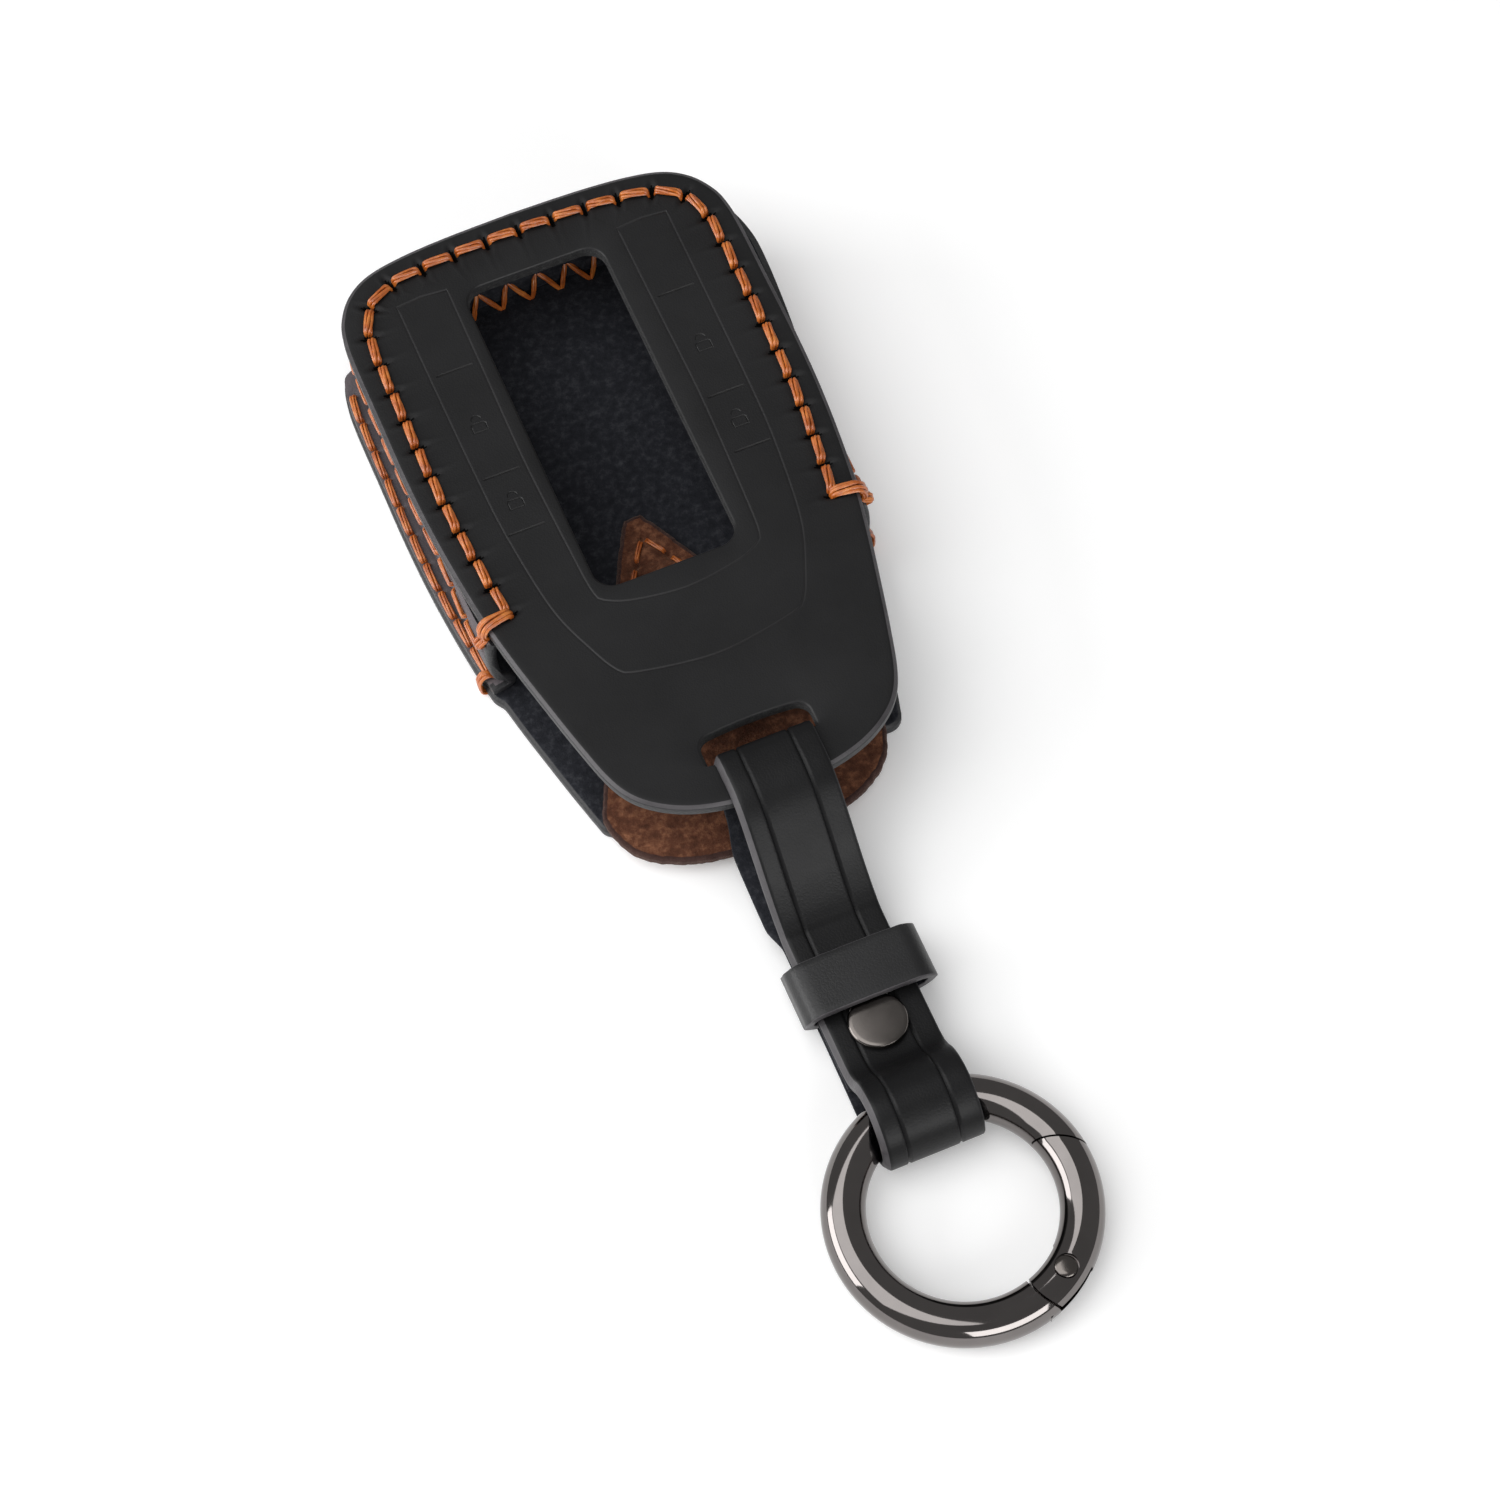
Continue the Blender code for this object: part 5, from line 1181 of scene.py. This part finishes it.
# %% Rear seams
# The tack at each lower end goes once round both layers: distance out and height.
edge = REAR_SEAM_INSET
REAR_TACK = ((-0.1, FLANGE_TOP - 0.8), (-0.1, FLANGE_TOP + 0.1), (edge * 0.4, FLANGE_TOP + 0.5),
             (edge, FLANGE_TOP + 0.35), (edge + 0.55, FLANGE_TOP - 0.6), (edge + 0.6, 2.2),
             (edge + 0.5, 1.0), (edge, 0.32), (edge * 0.4, 0.42), (-0.1, 0.6), (-0.1, 1.6))
for side, label in ((1, "right"), (-1, "left")):
    holes = rear_seams[side]
    upper, lower = Shape(), Shape()
    sew(upper, at_height(holes, FLANGE_TOP), [UP] * len(holes), width=1.05, height=0.74,
        slant=0.30 * side, bow=-0.48 * side, gap=0.45)
    points = [Vector((holes[0].x + side * a, holes[0].y - 0.1, z)) for a, z in REAR_TACK]
    tack(upper, points, Vector((0.0, 1.0, 0.0)), spread=0.55, strand=0.24, strands=5, depth=0.1)
    thread_piece(f"{label}_rear_seam_strands", upper, f"{label}_rear_seam_thread")
    sew(lower, at_height(holes[1:], GROOVE), [DOWN] * len(holes[1:]), width=1.05, height=0.5,
        slant=0.2, strands=3)
    thread_piece(f"{label}_rear_under_strands", lower, f"{label}_rear_under_thread")

# %% Tongue seam
# Name, level, the way out of the leather, width and gap of the rows on each side of the leather.
TONGUE_ROWS = (("tongue", TONGUE_TOP, UP, 0.72, 0.85), ("tongue_under", GROOVE, DOWN, 1.0, 0.6))
for name, base, up, width, gap in TONGUE_ROWS:
    thread = Shape()
    sew(thread, at_height(tongue_holes, base), [up] * len(tongue_holes), width, height=0.5, strands=3, gap=gap)
    thread_piece(f"{name}_strands", thread, f"{name}_thread")

# %% Zigzag seam
ZIGZAG_PITCH, ZIGZAG_COUNT, ZIGZAG_RISE, ZIGZAG_REACH, ZIGZAG_DEPTH = 4.4, 8, 3.6, 1.1, 0.4
ZIGZAG_STRANDS, ZIGZAG_STEPS, ZIGZAG_THREAD, ZIGZAG_BOW = 3, 12, 0.2, 0.3
ZIGZAG_WIDE, ZIGZAG_THICK, ZIGZAG_TWIST, TOP_SHIFT, FOOT_SHIFT = 0.2, 0.14, 2.5, -0.5, 0.3
TOP_MIDDLE = Vector((0.0, FRONT_HALF_LENGTH - 0.2))


def top_line_y(x, inset):
    """Height in Y of a line inside the gusset's top run, at a distance from the middle."""
    line = edge_line(GUSSET_END_Y, inset)
    for a, b in zip(line, line[1:]):
        if b.x <= x <= a.x:
            return a.y + (b.y - a.y) * (a.x - x) / (a.x - b.x)
    return line[0].y


corners = []
for i in range(-ZIGZAG_COUNT, ZIGZAG_COUNT + 1):
    x = i * ZIGZAG_PITCH / 2 + (TOP_SHIFT if i % 2 else FOOT_SHIFT)
    if i % 2:
        rise = PANEL + ZIGZAG_RISE
        y = top_line_y(x, -wall_reach(TOP_MIDDLE, rise, -1)) + ZIGZAG_DEPTH
    else:
        rise = PANEL - ZIGZAG_DEPTH
        y = top_line_y(x, -wall_reach(TOP_MIDDLE, FLANGE_LOW, -1)) - ZIGZAG_REACH
    corners.append(Vector((x, y, rise)))
IN_VIEW = Vector((0.0, -0.8, 0.6))
zigzag = Shape()
for start, end in zip(corners, corners[1:]):
    run = end - start
    side = run.cross(IN_VIEW).normalized()
    turn = random.uniform(0.0, math.tau)
    for k in range(ZIGZAG_STRANDS):
        line = []
        for i in range(ZIGZAG_STEPS + 1):
            share = i / ZIGZAG_STEPS
            angle = turn + math.tau * k / ZIGZAG_STRANDS + ZIGZAG_TWIST * share
            swell = pinch(share, 0.6)
            off = side * (math.cos(angle) * ZIGZAG_WIDE * swell)
            off += IN_VIEW * (math.sin(angle) * ZIGZAG_THICK * swell)
            line.append(start + run * share + off + IN_VIEW * (ZIGZAG_BOW * math.sin(math.pi * share)))
        tube(zigzag, line, [ZIGZAG_THREAD] * len(line), side)
thread_piece("zigzag_strands", zigzag, "top_zigzag_thread")

# %% [markdown]
# ## The strap
#
# A single strip goes up through the slot, folds over the case's end, runs down through the keeper,
# loops round the ring and comes back under the rivet. A curve with a profile would twist at the
# tight fold, so the strip is a section swept along its side view, with two creased lines.

# %% Strap path
STRAP_HALF, STRAP = 6.7, 1.5
RIVET_Y, RIVET_RADIUS, RIVET_BACK = -78.3, 3.85, 0.7
KEEPER_LENGTH, KEEPER, KEEPER_WIDTH, KEEPER_CORNER, KEEPER_TRAVEL = 7.8, 1.4, 18.0, 2.6, 2.0
RING_TUBE = 2.82
RING_RADIUS = 17.5 - RING_TUBE
RING_LOOP_GAP, RING_FLOOR_GAP = 0.3, 0.05
LOOP_FAR_Y, FRONT_END_Y, REAR_END_Y, RETURN_END_Y = -96.5, -84.0, -84.6, -74.5
STRAP_BACK = RIVET_BACK + LAYER_GAP + STRAP / 2
STRAP_LEVELS = (STRAP_BACK + 2 * (STRAP + LAYER_GAP), STRAP_BACK + STRAP + LAYER_GAP, STRAP_BACK)
KEEPER_TOP = RIVET_Y + RIVET_RADIUS + LAYER_GAP + KEEPER_LENGTH
TUBE_Z = STRAP + RING_FLOOR_GAP * 2 + RING_LOOP_GAP + RING_TUBE
LOOP_SLACK = RING_RADIUS - math.sqrt((RING_RADIUS - RING_TUBE) ** 2 - STRAP_HALF**2) + RING_LOOP_GAP
TUBE_Y = LOOP_FAR_Y + STRAP + LOOP_SLACK


def strap_middle():
    """Middle line of the strap seen from the side, as (y, z), from its rear end to its return."""
    front, rear, back = STRAP_LEVELS
    half = STRAP / 2
    bar_high = SLOT_CENTRE_Y - SLOT_LENGTH / 2
    bar_low = -FRONT_HALF_LENGTH
    over = CASE_HEIGHT + LAYER_GAP + half
    inner = bar_high + LAYER_GAP + half
    radius = LOOP_SLACK + half
    floor_level = RING_FLOOR_GAP * 2 + half
    drop = over - front
    bend = KEEPER_TOP + KEEPER_TRAVEL
    run = bar_low - bend
    clear = TONGUE_TOP + LAYER_GAP + half
    points = (
        (REAR_END_Y, rear), (RIVET_Y, rear), (bend, rear), (bend + run * 0.5, rear + LAYER_GAP),
        (bar_low, clear + LAYER_GAP * 2), (bar_low + SLOT_LENGTH * 0.72, clear + CASE_HEIGHT * 0.14),
        (inner + half * 0.3, clear + CASE_HEIGHT * 0.32), (inner + half * 1.3, FRONT_LOW - PANEL),
        (inner + half * 0.6, FRONT_LOW + PANEL * 0.5), (inner - half * 0.3, over - half * 0.6),
        (bar_high - half * 0.6, over), (bar_low + half * 1.4, over), (bar_low - half * 2.6, over - drop * 0.10),
        (bar_low - run * 0.36, over - drop * 0.37), (bar_low - run * 0.62, over - drop * 0.70),
        (bar_low - run * 0.86, over - drop * 0.93), (bend - half, front), (RIVET_Y + half, front),
        (FRONT_END_Y + half * 1.6, front + half * 0.2), (TUBE_Y + radius * 0.80, front + half * 1.8),
        (TUBE_Y + radius * 0.46, front + half * 5.0), (TUBE_Y + radius * 0.06, TUBE_Z + radius * 0.95),
        (TUBE_Y - radius * 0.34, TUBE_Z + radius * 0.93),
        (TUBE_Y - radius * 0.82, TUBE_Z + radius * 0.57), (TUBE_Y - radius, TUBE_Z),
        (TUBE_Y - radius * 0.82, floor_level + half * 1.7), (TUBE_Y - radius * 0.42, floor_level + half * 0.1),
        (TUBE_Y, floor_level), (FRONT_END_Y, back - half * 0.5), (RIVET_Y, back), (RETURN_END_Y, back),
    )
    return curve([Vector(p) for p in points], 12)


# %% Strap
# The strip's section: place across, and share of the thickness above or below its middle.
CREASE_AT, CREASE_WIDE = 3.5, 0.36
CREASE = ((-1.5, 0.5), (-0.9, 0.495), (-0.6, 0.47), (-0.35, 0.35), (-0.1, 0.315), (0.1, 0.33),
          (0.85, 0.49), (1.1, 0.505), (1.5, 0.5))
LEFT_BEVEL = ((-6.7, -0.22), (-6.6, -0.02), (-6.08, 0.40), (-5.92, 0.485), (-5.6, 0.5))
RIGHT_EDGE = ((5.0, 0.5), (6.2, 0.497), (6.5, 0.475), (6.64, 0.42), (6.7, 0.30))
UNDER_SIDE = ((6.7, -0.34), (6.62, -0.44), (6.4, -0.49), (6.0, -0.5), (-6.0, -0.5), (-6.4, -0.49),
              (-6.62, -0.45), (-6.7, -0.36))
SLIP, STRAP_END_EASE = 1.0, 0.8

left_crease, right_crease = ([(side * CREASE_AT + a * CREASE_WIDE, b) for a, b in CREASE]
                             for side in (-1, 1))
top_side = [*LEFT_BEVEL, *left_crease, (0.0, 0.503), *right_crease, *RIGHT_EDGE]
section = [*top_side, *UNDER_SIDE]
strap_line = spaced(strap_middle(), 0.75 / FINE)
fold = max(range(len(strap_line)), key=lambda i: strap_line[i].y)


def side_slip(index, y):
    """The rear layer lies a little to the left between the case and the keeper."""
    free = smoothstep((y - KEEPER_TOP - 2.4) / 4.0) * smoothstep((-FRONT_HALF_LENGTH + 4.0 - y) / 6.0)
    return -SLIP * free if index < fold else 0.0


rings = []
for i, (point, normal) in enumerate(zip(strap_line, left_normals(strap_line))):
    thick = STRAP * (1.0 if 0 < i < len(strap_line) - 1 else STRAP_END_EASE)
    slip = side_slip(i, point.x)
    rings.append([(x + slip, point.x - normal.x * thick * share, point.y - normal.y * thick * share)
                  for x, share in section])
strap = Shape()
strap.skin(rings)
for number, face in enumerate(strap.faces):
    columns = sorted(i % len(section) for i in face)
    if len(face) > 4:
        strap.finish[number] = 2
    # The left bevel faces the left lamp and gets the bevel's painted highlight. The right edge stays black edge
    # paint.
    elif columns[0] in (0, 1) and columns[-1] < 4:
        strap.finish[number] = 3
    elif columns[-1] - columns[0] > 10 or 0 < len(top_side) - columns[0] <= 3:
        strap.finish[number] = 2
    elif columns[0] >= len(top_side) - 1:
        strap.finish[number] = 1
finish_piece("strap_leather", strap, "strap",
             (STRAP_GRAIN, FLESH_SIDE, EDGE_PAINT, BEVEL_PAINTED_HIGHLIGHT), ("strap",), sharp=40.0)

# %% [markdown]
# ## Rivet and keeper
#
# The rivet is a flat disc with a bright turned edge, pressed on a post. The keeper is a short band
# of the same leather, painted lighter than the strap as a highlight, with burnished edges painted
# a light grey as their highlight. It is closed round the strap and leans towards the ring, so that
# its front stands over the rivet's rim.

# %% Rivet
def turned(profile, centre, sides=64):
    """Solid turned about an upright axis from (radius, height) points."""
    shape = Shape()
    shape.skin([at_height(circle(centre, radius, sides), height) for radius, height in profile])
    return shape


SEAT = STRAP_LEVELS[0] + STRAP / 2 + LAYER_GAP
CAP_PROFILE = ((3.55, -0.12), (3.8, -0.04), (3.85, 0.08), (3.85, 0.36), (3.80, 0.50), (3.64, 0.64),
               (3.58, 0.67), (3.2, 0.69), (2.0, 0.73), (0.6, 0.74), (0.1, 0.74))
POST_PROFILE = ((0.1, 0.0), (3.2, 0.0), (3.5, 0.03), (3.80, 0.24), (3.85, 0.34), (3.85, 0.60),
                (3.75, 0.70), (1.1, 0.70), (1.1, SEAT - 0.1), (0.9, SEAT))
for part, profile in (("cap", [(r, SEAT + z) for r, z in CAP_PROFILE]), ("post", POST_PROFILE)):
    finish_piece(f"rivet_{part}_disc", turned(profile, (0.0, RIVET_Y)), "strap",
                 (RIVET_METAL,), (f"rivet_{part}",), sharp=30.0)

# %% Keeper
KEEPER_RISE, KEEPER_LEAN, KEEPER_SIDE, KEEPER_CROWN, KEEPER_WAVE = 0.8, 1.7, 0.5, 0.35, 0.05
KEEPER_PROFILE = ((0.0, 0.12), (0.04, 0.04), (0.14, 0.0), (0.7, 0.03), (1.26, 0.0), (1.36, 0.04), (1.4, 0.12))
KEEPER_STEPS = (0.9, 2.4, 3.9, 5.4, 6.9)
keeper_low = STRAP_LEVELS[1] - STRAP / 2 - LAYER_GAP - KEEPER
keeper_high = STRAP_LEVELS[0] + STRAP / 2 + LAYER_GAP + KEEPER + KEEPER_RISE
keeper_outer = spaced(rounded_box(KEEPER_WIDTH, keeper_high - keeper_low, (keeper_high + keeper_low) / 2,
                                  KEEPER_CORNER, 10), CUT_STEP, closed=True)
loop = [(depth, KEEPER_TOP - step) for depth, step in KEEPER_PROFILE]
loop += [(KEEPER, KEEPER_TOP - step) for step in KEEPER_STEPS]
loop += [(depth, KEEPER_TOP - KEEPER_LENGTH + step) for depth, step in reversed(KEEPER_PROFILE)]
loop += [(0.0, KEEPER_TOP - step) for step in reversed(KEEPER_STEPS)]
keeper = Shape()
rows = []
for depth, y in loop:
    row = []
    for p in moved(keeper_outer, depth, True):
        lean = KEEPER_LEAN * smoothstep((p.y - keeper_low) / (keeper_high - keeper_low))
        wave = KEEPER_WAVE * noise.noise(Vector((p.x, p.y, y)))
        middle = 1 - min(1.0, abs(p.x) / KEEPER_WIDTH * 2) ** 2
        crown = KEEPER_CROWN * middle * smoothstep((p.y - keeper_low) / 4.0)
        row.append((p.x + KEEPER_SIDE, y - lean + wave, p.y + crown))
    rows.append(keeper.add(row))
inner_from, inner_to = len(KEEPER_PROFILE) - 1, len(KEEPER_PROFILE) + len(KEEPER_STEPS)
outer_from = inner_to + len(KEEPER_PROFILE) - 1
for number, (a, b) in enumerate(zip(rows, rows[1:] + rows[:1])):
    cut = number < inner_from or inner_to <= number < outer_from
    keeper.bridge(a, b, 2 if cut else 1 if number < inner_to else 0)
# The keeper's lighter leather and its grey cut edges are painted highlights.
finish_piece("keeper_band", keeper, "keeper",
             (KEEPER_PAINTED_HIGHLIGHT, FLESH_SIDE, BEVEL_PAINTED_HIGHLIGHT), ("keeper_loop",), sharp=40.0)

# %% [markdown]
# ## The spring-gate ring
#
# The ring is a cast tube that has been cut in two: a fixed part, and a gate that turns inwards on
# a pin. It is easiest to build both as plain tubes and to cut them with the same shapes a machinist
# would use, a slanted saw cut at the nose and a round shoulder and a slot at the hinge. Blender's
# Boolean modifier makes the cuts, and the result is applied, so that no cutter stays in the scene.

# %% Ring frame and cuts
RING_TILT = math.asin((TUBE_Z - RING_TUBE - RING_FLOOR_GAP) / (2 * RING_RADIUS))
RING_TURN = (Matrix.Translation((0.0, TUBE_Y, TUBE_Z)) @ Matrix.Rotation(RING_TILT, 4, "X")
             @ Matrix.Translation((0.0, -RING_RADIUS, 0.0)))
GATE_PIN_DEG, GATE_TIP_DEG, GATE_SLANT_DEG, GATE_GAP = -56.0, 12.3, 8.2, 0.3
HEEL_RADIUS, TONGUE_WIDTH, TONGUE_THICK = 4.7, 3.6, 1.5
PIN_RADIUS, PIN_GAP, PIN_HEAD, PIN_HEAD_HEIGHT, PIN_HEAD_GAP, PIN_SEAT = 0.8, 0.12, 1.45, 0.6, 0.14, 0.8
pin_angle = math.radians(GATE_PIN_DEG)
PIN_OUT = Vector((math.cos(pin_angle), math.sin(pin_angle)))
PIN_AHEAD = Vector((-math.sin(pin_angle), math.cos(pin_angle)))


def around_pin(ahead, out):
    return PIN_OUT * (RING_RADIUS + out) + PIN_AHEAD * ahead


def nose(extra):
    """Slanted joint at the gate's tip, as an angle for each side of the tube."""
    return lambda lean: math.radians(GATE_TIP_DEG - GATE_SLANT_DEG * lean) + extra / RING_RADIUS


def ring_arc(start, end, step_deg=2.0, sides=40):
    """Stretch of the ring's tube between two angles, each given for a side of the tube."""
    shape = Shape()
    count = max(2, round(abs(end(0.0) - start(0.0)) / math.radians(step_deg / FINE)))
    rings = []
    for i in range(count + 1):
        share = i / count
        ring = []
        for j in range(sides):
            lean, rise = math.cos(math.tau * j / sides), math.sin(math.tau * j / sides)
            angle = start(lean) * (1 - share) + end(lean) * share
            radius = RING_RADIUS + RING_TUBE * lean
            ring.append((radius * math.cos(angle), radius * math.sin(angle), RING_TUBE * rise))
        rings.append(ring)
    shape.skin(rings)
    return shape


def block(outline, low, high):
    """Upright block from an outline in the ring's plane."""
    shape = Shape()
    shape.skin([at_height(outline, z) for z in (low, high)])
    return shape


def disc(centre, radius, low, high, sides=48):
    return block(circle(centre, radius, sides), low, high)


def machined(shape, cuts, joins=()):
    """The shape after its cuts and joins, as a new Shape; nothing else is left behind."""
    piece = solid_object("blank", shape.points, shape.faces)
    helpers = []
    for operation, tools in (("DIFFERENCE", cuts[:1]), ("UNION", joins), ("DIFFERENCE", cuts[1:])):
        for tool in tools:
            helpers.append(solid_object("cutter", tool.points, tool.faces))
            modifier = piece.modifiers.new("cut", "BOOLEAN")
            modifier.operation, modifier.object = operation, helpers[-1]
    bpy.context.view_layer.update()
    mesh = piece.evaluated_get(bpy.context.evaluated_depsgraph_get()).to_mesh()
    out = Shape()
    out.add(v.co for v in mesh.vertices)
    for polygon in mesh.polygons:
        out.face(polygon.vertices)
    for old in helpers + [piece]:
        bpy.data.objects.remove(old, do_unlink=True)
    return out


# %% Ring body
tall = RING_TUBE + 1.0
pin_place = around_pin(0.0, 0.0)
body_end = math.radians(GATE_PIN_DEG + 356.0)
body_arc = ring_arc(nose(GATE_GAP), lambda lean: body_end)
half = TONGUE_WIDTH / 2
tongue_back = -(HEEL_RADIUS + GATE_GAP + 1.0)
tongue_nose = [(half * math.sin(a), half * math.cos(a)) for a in (math.pi * i / 24 for i in range(25))]
tongue_line = [around_pin(a, b) for a, b in [(tongue_back, half)] + tongue_nose + [(tongue_back, -half)]]
body = machined(
    body_arc,
    (disc(pin_place, HEEL_RADIUS + GATE_GAP, -tall, tall, sides=96),
     disc(pin_place, PIN_RADIUS + PIN_GAP, -tall, tall)),
    (block(tongue_line, -TONGUE_THICK / 2, TONGUE_THICK / 2),),
)
finish_piece("ring_body_tube", body, "ring",
             (GUNMETAL,), ("ring_body",), sharp=32.0, turn=RING_TURN)

# %% Gate
wide, behind = HEEL_RADIUS + 1.0, -(HEEL_RADIUS + 3.0)
heel = [(behind, -wide), (0.0, -wide)]
heel += [(HEEL_RADIUS * math.cos(a), -HEEL_RADIUS * math.sin(a))
         for a in (math.pi * (0.5 + i / 40) for i in range(41))]
heel += [(0.0, wide), (behind, wide)]
slot_half = TONGUE_THICK / 2 + GATE_GAP
slot_front = TONGUE_WIDTH / 2 + GATE_GAP
fork_corners = ((behind, -wide), (slot_front, -wide), (slot_front, wide), (behind, wide))
fork = [around_pin(a, b) for a, b in fork_corners]
gate_start = math.radians(GATE_PIN_DEG - 24.0)
seat_level = RING_TUBE - PIN_SEAT
seat_radius = PIN_HEAD + PIN_HEAD_GAP
gate = machined(
    ring_arc(lambda lean: gate_start, nose(0.0)),
    (block([around_pin(a, b) for a, b in heel], -tall, tall), block(fork, -slot_half, slot_half),
     disc(pin_place, PIN_RADIUS + PIN_GAP, -tall, tall),
     disc(pin_place, seat_radius, seat_level, tall), disc(pin_place, seat_radius, -tall, -seat_level)),
)
finish_piece("ring_gate_tube", gate, "gate",
             (GUNMETAL,), ("ring_gate",), sharp=32.0, turn=RING_TURN)

# %% Hinge pin
pin_seat = seat_level + GATE_GAP / 2
pin_head = pin_seat + PIN_HEAD_HEIGHT
half_profile = ((0.1, pin_head + 0.02), (0.7, pin_head), (1.15, pin_head - 0.07), (1.38, pin_head - 0.24),
                (PIN_HEAD, pin_head - 0.42), (PIN_HEAD, pin_seat), (PIN_RADIUS, pin_seat))
profile = [(r, -z) for r, z in half_profile] + [(r, z) for r, z in reversed(half_profile)]
finish_piece("gate_pin_turned", turned(profile, pin_place, 40), "ring",
             (RIVET_METAL,), ("gate_pin",), sharp=30.0, turn=RING_TURN)

# %% Spring
spring_node = bpy.data.objects.get("gate_spring") or next(
    o for o in bpy.data.objects if o.name.startswith("gate_spring"))
spring_node.data.materials.clear()
spring_node.data.materials.append(SPRING_METAL)
print("spring keeps its packed mesh")

# %% Update the scene
bpy.context.view_layer.update()
